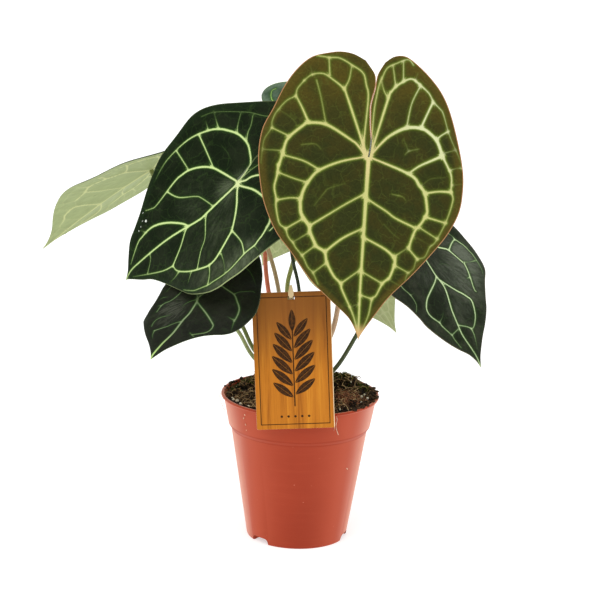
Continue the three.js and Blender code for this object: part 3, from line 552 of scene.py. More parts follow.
leaves = {
    "front": {
        "joint": (43, -78, 306.8), "tip": (38.5, -131, 188.3), "roll": -4,
        "bend": {"fold": 0.04, "cup": -0.05, "arch": 0.02, "lobeDroop": 0, "twist": -0.08,
                 "ripple": 0.012},
        "right": (
            [(0, 0), (5.5, 40), (8.5, 90), (6, 130), (1, 170), (-4, 250), (-4, 290), (5, 340),
             (15, 385), (18, 430), (27, 475), (60, 540)],
            [(60, 540), (110, 578), (170, 583), (230, 545), (310, 470), (380, 380), (430, 270),
             (475, 110), (510, -60), (512, -190), (495, -290), (450, -390), (390, -480), (270, -630),
             (150, -760), (60, -890), (10, -970), (0, -1000)],
        ),
        "left": (
            [(0, 0), (5, 40), (8, 90), (5, 130), (0, 170), (-5, 250), (-5, 290), (4, 340), (14, 385),
             (16, 430), (6, 475), (-45, 545)],
            [(-45, 545), (-110, 576), (-175, 585), (-240, 575), (-340, 540), (-420, 460), (-480, 360),
             (-530, 240), (-580, 120), (-592, -30), (-570, -190), (-535, -310), (-470, -440),
             (-380, -550), (-270, -690), (-150, -800), (-60, -880), (-15, -955), (0, -1000)],
        ),
        "rows": 300, "columns": 78, "look": bronzeLook, "veins": bronzeNet,
        "sheen": frontSheen, "webbing": 0.75,
        "bladeSlot": "blade_bronze", "stalkSlot": "stalk_tan",
        "stalk": {"radius": 1.9, "angle": -50, "tones": ((196, 164, 132), (160, 138, 92)),
                  "route": [(23, -25, 168.8), (27, -34, 194.8), (35, -49, 241.8)]},
    },
    "left": {
        "joint": (-49.5, -30, 278.3), "tip": (-135, 13.5, 192.8), "roll": -58,
        "bend": {"fold": 0.04, "cup": 0.15, "arch": 0.17, "lobeDroop": 0.45, "twist": 0.22,
                 "ripple": 0.02},
        "right": (
            [(0, 0), (-13, -6), (-28, 34), (-46, 67), (-67, 106), (-94, 153), (-90, 220), (-50, 330),
             (0, 440), (40, 500), (100, 550)],
            [(100, 550), (200, 560), (320, 520), (430, 430), (520, 310), (575, 190), (610, 60),
             (600, -80), (580, -200), (575, -300), (545, -390), (460, -510), (360, -600), (240, -700),
             (150, -785), (90, -870), (40, -935), (8, -980), (0, -1000)],
        ),
        "left": (
            [(0, 0), (-14, -7), (-29, 33), (-47, 66), (-68, 105), (-95, 152), (-92, 220), (-55, 330),
             (-15, 440), (-45, 510), (-100, 550)],
            [(-100, 550), (-180, 555), (-270, 510), (-360, 410), (-430, 290), (-490, 160), (-530, 60),
             (-552, -40), (-550, -130), (-520, -230), (-460, -370), (-390, -480), (-320, -590),
             (-255, -680), (-205, -760), (-160, -840), (-90, -905), (-30, -955), (0, -1000)],
        ),
        "rows": 250, "columns": 66, "look": greenLook, "veins": greenNet,
        "sheen": leftSheen, "flecks": leftFlecks,
        "bladeSlot": "blade_green", "stalkSlot": "stalk_tan",
        "stalk": {"radius": 1.6, "angle": 205, "tones": ((178, 154, 118), (136, 130, 84)),
                  "route": [(-18, -10, 192.8), (-27, -13, 225.8), (-40, -14, 253.8)]},
    },
    "low_left": {
        "joint": (-76.5, -46.5, 195.3), "tip": (-105.5, -110, 165.3), "roll": 10,
        "bend": {"fold": 0.12, "cup": -0.3, "arch": -0.08, "lobeDroop": -0.15, "twist": -0.04,
                 "ripple": 0.02},
        "right": (
            [(0, 0), (1, 50), (1, 250), (20, 470), (100, 590)],
            [(100, 590), (220, 650), (340, 640), (450, 560), (540, 390), (610, 200), (665, 40),
             (690, -120), (685, -300), (680, -430), (640, -530), (570, -575), (470, -590), (380, -610),
             (300, -650), (220, -710), (140, -780), (70, -850), (25, -940), (0, -1000)],
        ),
        "left": (
            [(0, 0), (-1, 50), (-1, 250), (-12, 440), (-60, 510), (-140, 550)],
            [(-140, 550), (-250, 540), (-370, 460), (-460, 350), (-510, 210), (-495, 80), (-480, -40),
             (-495, -170), (-485, -290), (-420, -400), (-310, -560), (-180, -720), (-85, -850),
             (-30, -940), (0, -1000)],
        ),
        "rows": 190, "columns": 50, "look": duskLook, "veins": lowNet,
        "sheen": lowSheen,
        "bladeSlot": "blade_green", "stalkSlot": "stalk_green",
        "stalk": {"radius": 1.5, "angle": 250, "tones": ((150, 164, 110), (156, 172, 118)),
                  "route": [(-35, -20, 143.8), (-48, -34, 168.8), (-64, -45, 184.8)]},
    },
    "right": {
        "joint": (79.5, 12.5, 230.8), "tip": (133.5, -34, 144.8), "roll": -5,
        "bend": {"fold": -0.05, "cup": 0.17, "arch": 0.12, "lobeDroop": 0.02, "twist": -0.28,
                 "ripple": 0.015},
        "right": (
            [(0, 0), (10, 50), (10, 220), (10, 420), (30, 490), (80, 540)],
            [(80, 540), (160, 560), (250, 530), (350, 440), (440, 320), (510, 180), (550, 60),
             (565, -60), (570, -170), (540, -280), (500, -360), (430, -440), (360, -540), (300, -630),
             (220, -720), (140, -800), (80, -870), (35, -930), (0, -1000)],
        ),
        "left": (
            [(0, 0), (-10, 50), (-10, 220), (-10, 420), (-30, 490), (-90, 545)],
            [(-90, 545), (-180, 550), (-300, 480), (-420, 350), (-500, 210), (-555, 60), (-572, -100),
             (-560, -240), (-520, -360), (-450, -430), (-400, -480), (-340, -560), (-300, -630),
             (-200, -750), (-120, -830), (-50, -890), (-12, -950), (0, -1000)],
        ),
        "rows": 200, "columns": 52, "look": slateLook, "veins": rightNet,
        "sheen": rightSheen,
        "bladeSlot": "blade_green", "stalkSlot": "stalk_green",
        "stalk": {"radius": 1.6, "angle": -5, "tones": ((78, 90, 58), (92, 108, 68)),
                  "route": [(25, -4, 131.8), (40, 0, 155.8), (60, 6, 197.8)]},
    },
    "far_left": {
        "joint": (-123, 92, 265.8), "tip": (-212.5, 114, 193.8), "roll": 7,
        "bend": {"fold": 0.29, "cup": -0.34, "arch": 0.08, "lobeDroop": 0.15, "twist": -0.3,
                 "ripple": 0.012},
        "right": (
            plainSinus,
            [(90, 545), (170, 568), (260, 540), (360, 450), (450, 315), (520, 160), (560, 0),
             (565, -150), (530, -300), (450, -450), (335, -585), (210, -705), (110, -800), (50, -880),
             (15, -950), (0, -1000)],
        ),
        "left": (
            [(0, 0), (-10, 50), (-8, 220), (-10, 420), (-35, 490), (-90, 545)],
            [(-90, 545), (-170, 568), (-260, 540), (-360, 450), (-450, 315), (-520, 160), (-550, 0),
             (-550, -150), (-530, -290), (-470, -430), (-370, -550), (-250, -640), (-140, -730),
             (-55, -820), (-12, -910), (0, -1000)],
        ),
        "rows": 140, "columns": 38, "look": paleLook, "veins": plainNet,
        "bladeSlot": "blade_green", "stalkSlot": "stalk_green",
        "stalk": {"radius": 1.6, "angle": 165, "tones": ((112, 124, 70), (120, 128, 70)),
                  "route": [(-36, 8, 142.8), (-45, 14, 158.8), (-75, 40, 206.8), (-105, 70, 246.8)]},
    },
    "top": {
        "joint": (-14, 30, 317.8), "tip": (34, 5, 290.8), "roll": 51,
        "bend": {"fold": 0.06, "cup": -0.1, "arch": 0.1, "lobeDroop": 0.2, "twist": 0,
                 "ripple": 0.02},
        "rows": 90, "columns": 26, "look": deepLook, "veins": youngNet,
        "bladeSlot": "blade_green", "stalkSlot": "stalk_green",
        "stalk": {"radius": 1.3, "angle": 60, "tones": ((54, 66, 46), (60, 74, 50)),
                  "route": [(-3, 8, 190.8), (-9, 10, 216.8), (-16, 24, 277.8)]},
    },
    "back_left": {
        "joint": (-17, 92, 234.8), "tip": (-33, 96, 188.8), "roll": 95,
        "bend": {"fold": 0.08, "cup": -0.15, "arch": 0.15, "lobeDroop": 0.1, "twist": 0,
                 "ripple": 0.02},
        "rows": 90, "columns": 26, "look": shadedLook, "veins": plainNet,
        "bladeSlot": "blade_green", "stalkSlot": "stalk_red",
        "stalk": {"radius": 1.7, "angle": 130, "tones": ((224, 122, 100), (190, 118, 90)),
                  "route": [(-26, 14, 186.8), (-29.5, 24, 213.8), (-28, 50, 229.8)]},
    },
    "back_right": {
        "joint": (26, 45, 212.8), "tip": (74, 42, 150.3), "roll": -60, "width": 0.9,
        "bend": {"fold": 0.08, "cup": -0.15, "arch": 0.15, "lobeDroop": 0.1, "twist": 0,
                 "ripple": 0.02},
        "rows": 110, "columns": 30, "look": shadedLook, "veins": plainNet,
        "bladeSlot": "blade_green", "stalkSlot": "stalk_green",
        "stalk": {"radius": 1.7, "angle": 95, "tones": ((162, 170, 104), (152, 160, 94)),
                  "route": [(-12, 14, 187.8), (-10, 18, 201.8), (-3, 23, 219.8), (11, 32, 225.8)]},
    },
}

# what all blades share, in millimetres: the solids' thickness and how the fine blade
# thins to its margin, swells between the veins and carries ribs underneath
blade = {
    "midribShare": 0.65,
    "thickness": 0.9,
    "marginHalf": 0.14,
    "thinning": 1.6,
    "quilt": 0.5,
    "quiltReach": 5.0,
    "groove": 0.12,
    "ribHeight": 0.75,
    "reach": 9.0,
    "webbing": 0.4,
    "veinShare": 0.84,
    # where along a vein its middle width holds, half widths on a full blade, and how
    # clearly a vein of each shows
    "widthAt": 0.45,
    "clearHalves": (0.05, 0.3, 0.55, 1.1),
    "clearShares": (0.05, 0.25, 0.78, 1.0),
    "fullLength": 130.0,
    # the share of a grid cell within which a vein's exact distance counts
    "cellShare": 0.3,
    "fleckTone": (226, 232, 220),
    "foldRound": 0.055,
    "rippleCount": 7,
}


def bladeAxes(leaf):
    joint = Vector(leaf["joint"])
    lobes = joint - Vector(leaf["tip"])
    length = lobes.length
    lobes.normalize()
    level = lobes.cross(up).normalized()
    upright = level.cross(lobes)
    roll = math.radians(leaf["roll"])
    side = level * math.cos(roll) + upright * math.sin(roll)
    face = upright * math.cos(roll) - level * math.sin(roll)
    return joint, length, side, lobes, face


def bladeHeight(x, y, bend):
    # height of the upper face over the blade's plane, all in blade lengths
    height = bend["fold"] * (np.hypot(x, blade["foldRound"]) - blade["foldRound"])
    height += bend["cup"] * x * x + bend["arch"] * (-y - y * y) + bend["twist"] * x * y
    height -= np.where(y > 0, bend["lobeDroop"] * y * y, 0)
    around = np.arctan2(x, -(y + 0.1))
    return height + bend["ripple"] * 2 * x * x * np.sin(blade["rippleCount"] * around + 1)


def halfOutline(leaf, side):
    # the notch beside the junction and the margin from lobe to tip, in blade lengths
    if side in leaf:
        return [np.array(line) / 1000 for line in leaf[side]]
    turn = leaf.get("width", 1) * (1 if side == "right" else -1)
    return [np.array(line) * (turn, 1) / 1000 for line in (plainSinus, plainMargin)]


def bladeSheet(leaf, length):
    # a closed flat sheet in blade lengths: z is 1 on the upper face, 0 underneath;
    # the layer rim holds the distance from the margin in millimetres
    sheet = bmesh.new()
    rim = sheet.verts.layers.float.new("rim")
    for name in ("right", "left"):
        sinus, margin = halfOutline(leaf, name)
        made = bmesh.ops.create_grid(
            sheet, x_segments=leaf["rows"], y_segments=leaf["columns"], size=0.5)["verts"]
        rows = np.array([vertex.co.x + 0.5 for vertex in made])
        columns = np.array([vertex.co.y + 0.5 for vertex in made])
        share = blade["midribShare"]
        onMidrib = rows <= share
        spine = along(smoothLine(sinus, 40), np.clip((rows - share) / (1 - share), 0, 1))
        spine[onMidrib] = np.stack([0 * rows, rows / share - 1], -1)[onMidrib]
        outer = along(smoothLine(margin, 40), 1 - rows)
        places = spine + (outer - spine) * columns[:, None]
        span = np.linalg.norm(outer - spine, axis=1) * length
        fromRim = (1 - columns) * span
        fromRim = np.where(onMidrib, fromRim, np.minimum(fromRim, columns * span))
        for vertex, (x, y), distance in zip(made, places.tolist(), fromRim.tolist()):
            vertex.co = (x, y, 0)
            vertex[rim] = distance
    bmesh.ops.remove_doubles(sheet, verts=sheet.verts, dist=1e-6)
    turned = [face for face in sheet.faces if face.normal.z > 0]
    bmesh.ops.reverse_faces(sheet, faces=turned)
    upper = bmesh.ops.extrude_face_region(sheet, geom=sheet.faces[:], use_keep_orig=True)
    for vertex in vertsOf(upper):
        vertex.co.z = 1
    upperFaces = [item for item in upper["geom"] if isinstance(item, bmesh.types.BMFace)]
    bmesh.ops.reverse_faces(sheet, faces=upperFaces)
    bmesh.ops.recalc_face_normals(sheet, faces=sheet.faces)
    return sheet


def nearSegments(places, line, widths):
    # for each place: the vector to the line's nearest point and the half width there
    starts, ends = line[:-1], line[1:]
    spans = ends - starts
    lengths = np.maximum((spans ** 2).sum(1), 1e-9)
    offsets = places[:, None, :] - starts[None]
    shares = np.clip((offsets * spans[None]).sum(2) / lengths[None], 0, 1)
    towards = starts[None] + shares[..., None] * spans[None] - places[:, None, :]
    halves = widths[:-1][None] + shares * (widths[1:] - widths[:-1])[None]
    edges = np.sqrt((towards ** 2).sum(2)) - halves
    best = edges.argmin(1)
    every = np.arange(len(places))
    return edges[every, best], towards[every, best], halves[every, best]


def veinScale(length):
    return length / blade["fullLength"] * blade["veinShare"]


def veinField(flat, leaf, length):
    # distance in millimetres to the nearest vein's edge, the vector to its middle, its
    # half width, and how much neighbouring veins web together at a joint
    reach = blade["reach"]
    webbing = leaf.get("webbing", blade["webbing"])
    edge = np.full(len(flat), reach)
    towards = np.zeros((len(flat), 3))
    half = np.zeros(len(flat))
    total = np.zeros(len(flat))
    places = flat * length
    for widths, points in leaf["veins"]:
        line = smoothLine(np.array(points) / 1000, 6 if len(points) > 2 else 1) * length
        run = runLength(line)
        halves = np.interp(run / run[-1], (0, blade["widthAt"], 1), widths) * veinScale(length)
        low = line.min(0) - reach
        high = line.max(0) + reach
        near = np.flatnonzero(((places > low) & (places < high)).all(1))
        found, vector, width = nearSegments(places[near], line, halves)
        total[near] += np.exp(-found / webbing)
        closer = found < edge[near]
        chosen = near[closer]
        edge[chosen] = found[closer]
        towards[chosen, :2] = vector[closer]
        half[chosen] = width[closer]
    web = np.where(total > 0, -webbing * np.log(np.maximum(total, 1e-9)) - edge, 0)
    return edge, towards, half, np.minimum(web, 0)


def setReading(mesh, name, values):
    kind = "FLOAT_VECTOR" if values.ndim == 2 else "FLOAT"
    made = mesh.attributes.new(name, kind, "POINT")
    values = values.astype(np.float32).ravel()
    made.data.foreach_set("value" if kind == "FLOAT" else "vector", values)


def spotted(flat, spots):
    # how bright a blade is, from soft spots of light
    total = np.zeros(len(flat))
    for x, y, spread, strength in spots:
        total += strength * np.exp(-((flat[:, 0] - x) ** 2 + (flat[:, 1] - y) ** 2) / spread ** 2)
    return total


def bladeMesh(name, leaf):
    joint, length, side, lobes, face = bladeAxes(leaf)
    mesh = toMesh(bladeSheet(leaf, length), name)
    count = len(mesh.vertices)
    places = np.zeros(count * 3)
    mesh.vertices.foreach_get("co", places)
    places = places.reshape(-1, 3)
    flat = places[:, :2]
    upper = places[:, 2] > 0.5
    rim = np.zeros(count)
    mesh.attributes["rim"].data.foreach_get("value", rim)

    edge, towards, half, web = veinField(flat, leaf, length)
    x, y = flat[:, 0], flat[:, 1]
    step = 0.002
    height = bladeHeight(x, y, leaf["bend"])
    slopeX = (bladeHeight(x + step, y, leaf["bend"]) - height) / step
    slopeY = (bladeHeight(x, y + step, leaf["bend"]) - height) / step
    normals = np.stack([-slopeX, -slopeY, np.ones(count)], -1)
    normals /= np.linalg.norm(normals, axis=1)[:, None]

    thinned = 1 - np.exp(-rim / blade["thinning"])
    fullHalf = blade["thickness"] / 2
    halfThick = blade["marginHalf"] + (fullHalf - blade["marginHalf"]) * thinned
    between = np.maximum(edge + web, 0)
    swelling = blade["quilt"] * (1 - np.exp(-between / blade["quiltReach"])) * thinned
    inside = np.clip(-(edge + web), 0, 0.5) / 0.5
    distance = np.linalg.norm(towards, axis=1)
    bulge = np.sqrt(np.clip(1 - (distance / np.maximum(half, 0.2)) ** 2, 0, 1))
    rib = bulge * np.maximum(half - 0.15, 0) * blade["ribHeight"] * np.clip(rim / 2, 0, 1)
    above = halfThick + swelling - blade["groove"] * inside
    lift = np.where(upper, above, -halfThick - rib + swelling)
    local = np.stack([x * length, y * length, height * length], -1)
    local += normals * (lift - fullHalf)[:, None]

    axes = np.array([side, lobes, face])
    world = (np.array(joint) + local @ axes) * mm
    mesh.vertices.foreach_set("co", world.ravel())
    setReading(mesh, "veinTo", towards)
    setReading(mesh, "veinHalf", half)
    setReading(mesh, "veinEdge", edge)
    setReading(mesh, "web", web)
    setReading(mesh, "under", np.where(upper, 0.0, 1.0))
    # how clearly a vein shows: the thinnest are only faint lines
    shares = np.interp(half / veinScale(length), blade["clearHalves"], blade["clearShares"])
    setReading(mesh, "clear", shares)
    setReading(mesh, "bright", spotted(flat, leaf.get("sheen", [])))
    setReading(mesh, "fleck", spotted(flat, leaf.get("flecks", [])))
    setReading(mesh, "bladePlace", np.stack([x * length, y * length, 0 * x], -1))
    radius = np.hypot(x, y) * length
    setReading(mesh, "rays", np.stack([np.arctan2(x, -y) * 30, radius, 0 * x], -1))
    mesh.update()
    return mesh, length


def bladeMaterial(name, look, cell, length):
    material, shader = newMaterial(name, look["roughness"], look["specular"])
    colours = {key: tone(*value) for key, value in look.items() if isinstance(value, tuple)}
    place = objectPlace(material)
    flat = reading(material, "bladePlace", "Vector")
    rays = reading(material, "rays", "Vector")
    radius = axisOf(material, rays, "Y")
    exact = addNode(material, "ShaderNodeVectorMath", {0: reading(material, "veinTo", "Vector")},
                    operation="LENGTH").outputs["Value"]
    exact = calc(material, "SUBTRACT", exact, reading(material, "veinHalf"))
    gate = calc(material, "SUBTRACT", reading(material, "veinEdge"), cell)
    edge = calc(material, "ADD", calc(material, "MAXIMUM", exact, gate), reading(material, "web"))
    wander = times(material, calc(material, "SUBTRACT", grain(material, place, 900), 0.5), 0.4)
    edge = calc(material, "ADD", edge, wander)
    clear = reading(material, "clear")
    rim = reading(material, "rim")
    patches = grain(material, flat, 0.045, detail=4, rough=0.6)
    fine = grain(material, place, 700, detail=2)
    streaks = grain(material, rays, 1.0, detail=5, rough=0.7, stretch=(0.45, 0.09, 1))

    # upper face: cells, their paler edge beside the margin, sheen in streaks
    skin = mixTone(material, fade(material, patches, 0.42, 0.62), colours["skin"], colours["skinPatch"])
    skin = mixTone(material, fade(material, rim, 8.0, 3.0, 0.0, 0.7), skin, colours["skinEdge"])
    lobes = axisOf(material, flat, "Y")
    crest = times(material, fade(material, lobes, 5, 60), look["crestShare"])
    crest = times(material, crest, fade(material, patches, 0.3, 0.6, 0.5, 1))
    skin = mixTone(material, crest, skin, colours["crest"])
    streaky = fade(material, streaks, 0.36, 0.66, look["streakLow"], 1.0)
    sheen = times(material, reading(material, "bright"), streaky)
    skin = mixTone(material, fade(material, sheen, 0.08, 0.95), skin, colours["sheen"])
    skin = mixTone(material, fade(material, fine, 0.35, 0.7, 0.0, 0.2), skin, tone(0, 0, 0), "MULTIPLY")
    glow = fade(material, edge, look["glowReach"], 0.3, 0.0, look["glowShare"])
    skin = mixTone(material, times(material, glow, clear), skin, colours["glow"])
    # the finest veins, as a faint wandering net
    drift = addNode(material, "ShaderNodeTexNoise", {"Vector": flat, "Scale": 0.16, "Detail": 2.0})
    pushed = addNode(material, "ShaderNodeVectorMath", {0: drift.outputs["Color"], 1: (9, 9, 0)},
                     operation="MULTIPLY").outputs[0]
    pushed = addNode(material, "ShaderNodeVectorMath", {0: flat, 1: pushed}, operation="ADD").outputs[0]
    cells = addNode(material, "ShaderNodeTexVoronoi", {"Vector": pushed, "Scale": 0.11},
                    feature="DISTANCE_TO_EDGE").outputs["Distance"]
    seen = fade(material, grain(material, flat, 0.07), 0.4, 0.65, 0.15, look["network"])
    net = times(material, fade(material, cells, 0.045, 0.0), seen)
    skin = mixTone(material, net, skin, colours["border"])
    border = fade(material, edge, look["borderFrom"], -0.1)
    skin = mixTone(material, times(material, border, clear), skin, colours["border"])
    core = mixTone(material, fade(material, radius, 26, 5), colours["core"], colours["coreNear"])
    # paler over the right lobe, where the light falls
    lit = times(material, fade(material, axisOf(material, flat, "X"), 0, 40),
                fade(material, lobes, -35, 15))
    core = mixTone(material, lit, core, colours["coreLit"])
    outer = fade(material, lobes, -0.45 * length, -0.95 * length)
    core = mixTone(material, outer, core, colours["coreTip"])
    strength = fade(material, edge, look["coreFrom"], look["coreTo"])
    skin = mixTone(material, times(material, strength, clear), skin, core)
    # the pale rim shows more strongly under the painted sheen spots
    shown = calc(material, "ADD", reading(material, "bright"), look["rimShare"])
    edging = mixTone(material, fade(material, radius, 17, 11), colours["margin"], colours["sinus"])
    rimmed = times(material, fade(material, rim, 0.85, 0.35), fade(material, shown, 0, 1.0))
    skin = mixTone(material, rimmed, skin, edging)
    tipStart = -look["tipFrom"] * length
    tipped = fade(material, lobes, tipStart, tipStart - 0.07 * length)
    skin = mixTone(material, tipped, skin, colours["tip"])
    flecks = fade(material, reading(material, "fleck"), 0.3, 0.8)
    skin = mixTone(material, flecks, skin, tone(*blade["fleckTone"]))
    # underside
    dapple = fade(material, grain(material, place, 260, detail=4, rough=0.7), 0.62, 0.75, 0.0, 0.22)
    below = mixTone(material, fade(material, streaks, 0.35, 0.7, 0.0, 0.45), colours["under"],
                    mixTone(material, 0.35, colours["under"], colours["skin"]))
    below = mixTone(material, dapple, below, colours["skin"])
    ribs = fade(material, edge, 0.5, -0.5, 0.0, 0.8)
    ribs = times(material, ribs, fade(material, clear, 0.85, 0.98, look["underFine"], 1.0))
    below = mixTone(material, ribs, below, colours["underVein"])
    plug(material, mixTone(material, reading(material, "under"), skin, below), shader, "Base Color")

    vein = fade(material, edge, 0.6, -0.4)
    velvet = times(material, fine, 0.5)
    height = calc(material, "ADD", velvet, times(material, vein, -0.4))
    bumped(material, shader, height, 0.25 * mm, 0.5)
    return material


for leafName, leaf in leaves.items():
    mesh, length = bladeMesh(f"blade_{leafName}_fine", leaf)
    cell = length / leaf["columns"] * blade["cellShare"]
    material = bladeMaterial(f"blade_{leafName}", leaf["look"], cell, length)
    toPiece(f"blade_{leafName}_fine", mesh, material, leaf["bladeSlot"], f"blade_{leafName}")
    print("blade", leafName, len(mesh.polygons))


# stalks: one tapering ribbed tube each, swollen under the blade

stalk = {
    "ringRadius": 9.0,
    "crownPlace": (-2.0, 0.0),
    # heights between which it stands straight, in the peat
    "buriedFrom": 90.0,
    "straightTo": 116.0,
    "endLength": 8.0,
    "clearance": 0.3,
    "rings": 90,
    "sides": 20,
    "ridges": 5,
    "ridgeHeight": 0.035,
    # how much it swells near the top and the foot, how far from them, over what length
    "topSwelling": (0.3, 5.0, 7.0),
    "footSwelling": (0.2, 22.0, 14.0),
}


def stalkPoints(leaf):
    # up out of the peat, along the route, and square in under the junction
    joint, _, _, lobes, face = bladeAxes(leaf)
    angle = math.radians(leaf["stalk"]["angle"])
    x = stalk["crownPlace"][0] + stalk["ringRadius"] * math.cos(angle)
    y = stalk["crownPlace"][1] + stalk["ringRadius"] * math.sin(angle)
    away = -(face + lobes * leaf["bend"]["arch"]).normalized()
    end = joint + away * (blade["thickness"] + stalk["clearance"])
    middle = (stalk["buriedFrom"] + stalk["straightTo"]) / 2
    heights = (stalk["buriedFrom"], middle, stalk["straightTo"])
    points = [Vector((x, y, height)) for height in heights]
    points += [Vector(place) for place in leaf["stalk"]["route"]]
    return points + [end + away * stalk["endLength"], end]


def centripetal(points, count):
    # the same centripetal curve as the solid stalk's, in even steps of its parameter
    before = points[0] * 2 - points[1]
    after = points[-1] * 2 - points[-2]
    padded = [before, *points, after]
    made = []
    for number in range(count + 1):
        place = number / count * (len(points) - 1)
        index = min(int(place), len(points) - 2)
        share = place - index
        p0, p1, p2, p3 = padded[index:index + 4]
        d0, d1, d2 = (math.sqrt((b - a).length) for a, b in ((p0, p1), (p1, p2), (p2, p3)))
        leaving = ((p1 - p0) / d0 - (p2 - p0) / (d0 + d1) + (p2 - p1) / d1) * d1
        arriving = ((p2 - p1) / d1 - (p3 - p1) / (d1 + d2) + (p3 - p2) / d2) * d1
        cubic = (p1 * 2 - p2 * 2 + leaving + arriving) * share ** 3
        square = (p2 * 3 - p1 * 3 - leaving * 2 - arriving) * share ** 2
        made.append(cubic + square + leaving * share + p1)
    return made


def sweptTube(made, line, radii, sides, ridges=0, ridgeHeight=0.0):
    # rings along the line, each extruded from the last, closed at both ends
    place = made.verts.layers.float.get("along")
    direction = (line[1] - line[0]).normalized()
    turn = direction.to_track_quat("Z", "Y").to_matrix().to_4x4()
    start = Matrix.Translation(line[0]) @ turn
    ring = bmesh.ops.create_circle(
        made, cap_ends=False, segments=sides, radius=1, matrix=start)["verts"]
    edges = list({edge for vertex in ring for edge in vertex.link_edges})
    firstEdges = edges
    offsets = []
    for vertex in ring:
        offset = vertex.co - line[0]
        local = start.inverted().to_3x3() @ offset
        ridge = 1 + ridgeHeight * math.cos(ridges * math.atan2(local.y, local.x))
        offsets.append(offset * ridge)
    length = len(line) - 1
    for number, centre in enumerate(line):
        if number:
            before = line[number - 1]
            after = line[min(number + 1, length)]
            heading = (after - before).normalized()
            swing = direction.rotation_difference(heading)
            direction = heading
            offsets = [swing @ offset for offset in offsets]
            grown = bmesh.ops.extrude_edge_only(made, edges=edges)
            # each new vertex follows the ring's vertex that it was extruded from
            order = {vertex: index for index, vertex in enumerate(ring)}
            sortedRing = [None] * len(ring)
            for vertex in vertsOf(grown):
                for edge in vertex.link_edges:
                    other = edge.other_vert(vertex)
                    if other in order:
                        sortedRing[order[other]] = vertex
            ring = sortedRing
            edges = list({edge for vertex in ring for edge in vertex.link_edges
                          if edge.other_vert(vertex) in ring})
        for vertex, offset in zip(ring, offsets):
            vertex.co = centre + offset * radii[number]
            vertex[place] = number / length
    bmesh.ops.edgeloop_fill(made, edges=firstEdges)
    bmesh.ops.edgeloop_fill(made, edges=edges)


def stalkMaterial(name, tones):
    material, shader = newMaterial(name, 0.42, 0.3)
    place = objectPlace(material)
    share = reading(material, "along")
    low, high = (tone(*value) for value in tones)
    base = mixTone(material, fade(material, share, 0.75, 0.98), low, high)
    streaks = grain(material, place, 1.0, detail=5, rough=0.65, stretch=(900, 900, 60))
    dark = mixTone(material, 0.55, low, tone(60, 50, 30))
    base = mixTone(material, fade(material, streaks, 0.45, 0.75, 0.0, 0.4), base, dark)
    flecks = grain(material, place, 1600, detail=2)
    base = mixTone(material, fade(material, flecks, 0.66, 0.74, 0.0, 0.5), base, tone(225, 215, 190))
    earthy = fade(material, share, 0.2, 0.05, 0.0, 0.7)
    base = mixTone(material, earthy, base, tone(86, 66, 44))
    plug(material, base, shader, "Base Color")
    bumped(material, shader, streaks, 0.3 * mm, 0.5)
    return material


def swelling(distance, settings):
    strength, middle, spread = settings
    return strength * math.exp(-((distance - middle) / spread) ** 2)


def stalkMesh(name, leaf):
    made = bmesh.new()
    made.verts.layers.float.new("along")
    line = centripetal(stalkPoints(leaf), stalk["rings"])
    run = [0.0]
    for before, after in zip(line, line[1:]):
        run.append(run[-1] + (after - before).length)
    radii = []
    for distance in run:
        top = swelling(run[-1] - distance, stalk["topSwelling"])
        radii.append(leaf["stalk"]["radius"] * (1 + top + swelling(distance, stalk["footSwelling"])))
    sweptTube(made, line, radii, stalk["sides"], stalk["ridges"], stalk["ridgeHeight"])
    return closedMesh(made, name, 60)


for leafName, leaf in leaves.items():
    mesh = stalkMesh(f"stalk_{leafName}_fine", leaf)
    material = stalkMaterial(f"stalk_{leafName}", leaf["stalk"]["tones"])
    toPiece(f"stalk_{leafName}_fine", mesh, material, leaf["stalkSlot"], f"stalk_{leafName}")
print("stalks made")


# pot

pot = {
    "height": 112, "rimRadius": 60, "lipHeight": 2.2, "collarTopRadius": 58,
    "collarFootRadius": 54, "collarFootHeight": 88.4, "stepRadius": 52, "stepHeight": 86,
    "footRadius": 38.5, "wall": 1.4, "floor": 1.5, "steps": 160,
    "notchCount": 3, "notchWidth": 16.5, "notchHeight": 4.8, "notchDepth": 10,
    "notchCorner": 3.0, "firstNotchAngle": -136,
    "tone": (149, 51, 27), "deepTone": (139, 46, 24), "streakAndSheenTone": (184, 80, 52),
    "dustAndSheenTone": (222, 148, 124),
    # the painted sheen is weaker on the slope under the collar, over this reach above and below it
    "slopeReach": (1.4, 2.6), "slopeShare": 0.6,
    # thin pale roots and chips stuck to the outside: the points each passes, thickness
    "strayTones": ((206, 166, 138), (226, 198, 172)),
    "strays": [
        ([(26.6, -52.3, 111), (27.6, -50.9, 107.4), (27.1, -49.8, 101), (29.0, -47, 94)], 0.2),
        ([(25.2, -52, 108), (26.2, -50.9, 104.3), (25.7, -49.9, 98)], 0.12),
        ([(-60.2, -2, 111), (-61.2, -4, 108.5), (-59.6, -6, 104), (-57.6, -5, 98.5),
          (-56.4, -8, 96)], 0.14),
        ([(-57, -19, 112.6), (-58.6, -18, 109), (-57.2, -14, 105), (-56.8, -15, 101)], 0.11),
        ([(-40.9, -42.6, 106.6), (-40.4, -42.2, 105.4)], 0.35),
        ([(-41.2, -40.1, 103.2), (-41.6, -39.1, 101.8)], 0.3),
        ([(-40.2, -39.5, 98.2), (-39.6, -39.4, 97)], 0.3),
        ([(-39.3, -38.2, 93.4), (-39.2, -38.1, 92.6)], 0.35),
        ([(36.4, -32.0, 63.2), (37.2, -31.1, 62.2)], 0.35),
    ],
}


def potInner(height):
    heights = (0, pot["stepHeight"], pot["collarFootHeight"], pot["height"] - pot["lipHeight"])
    radii = (pot["footRadius"], pot["stepRadius"], pot["collarFootRadius"], pot["collarTopRadius"])
    return float(np.interp(height, heights, radii)) - pot["wall"]


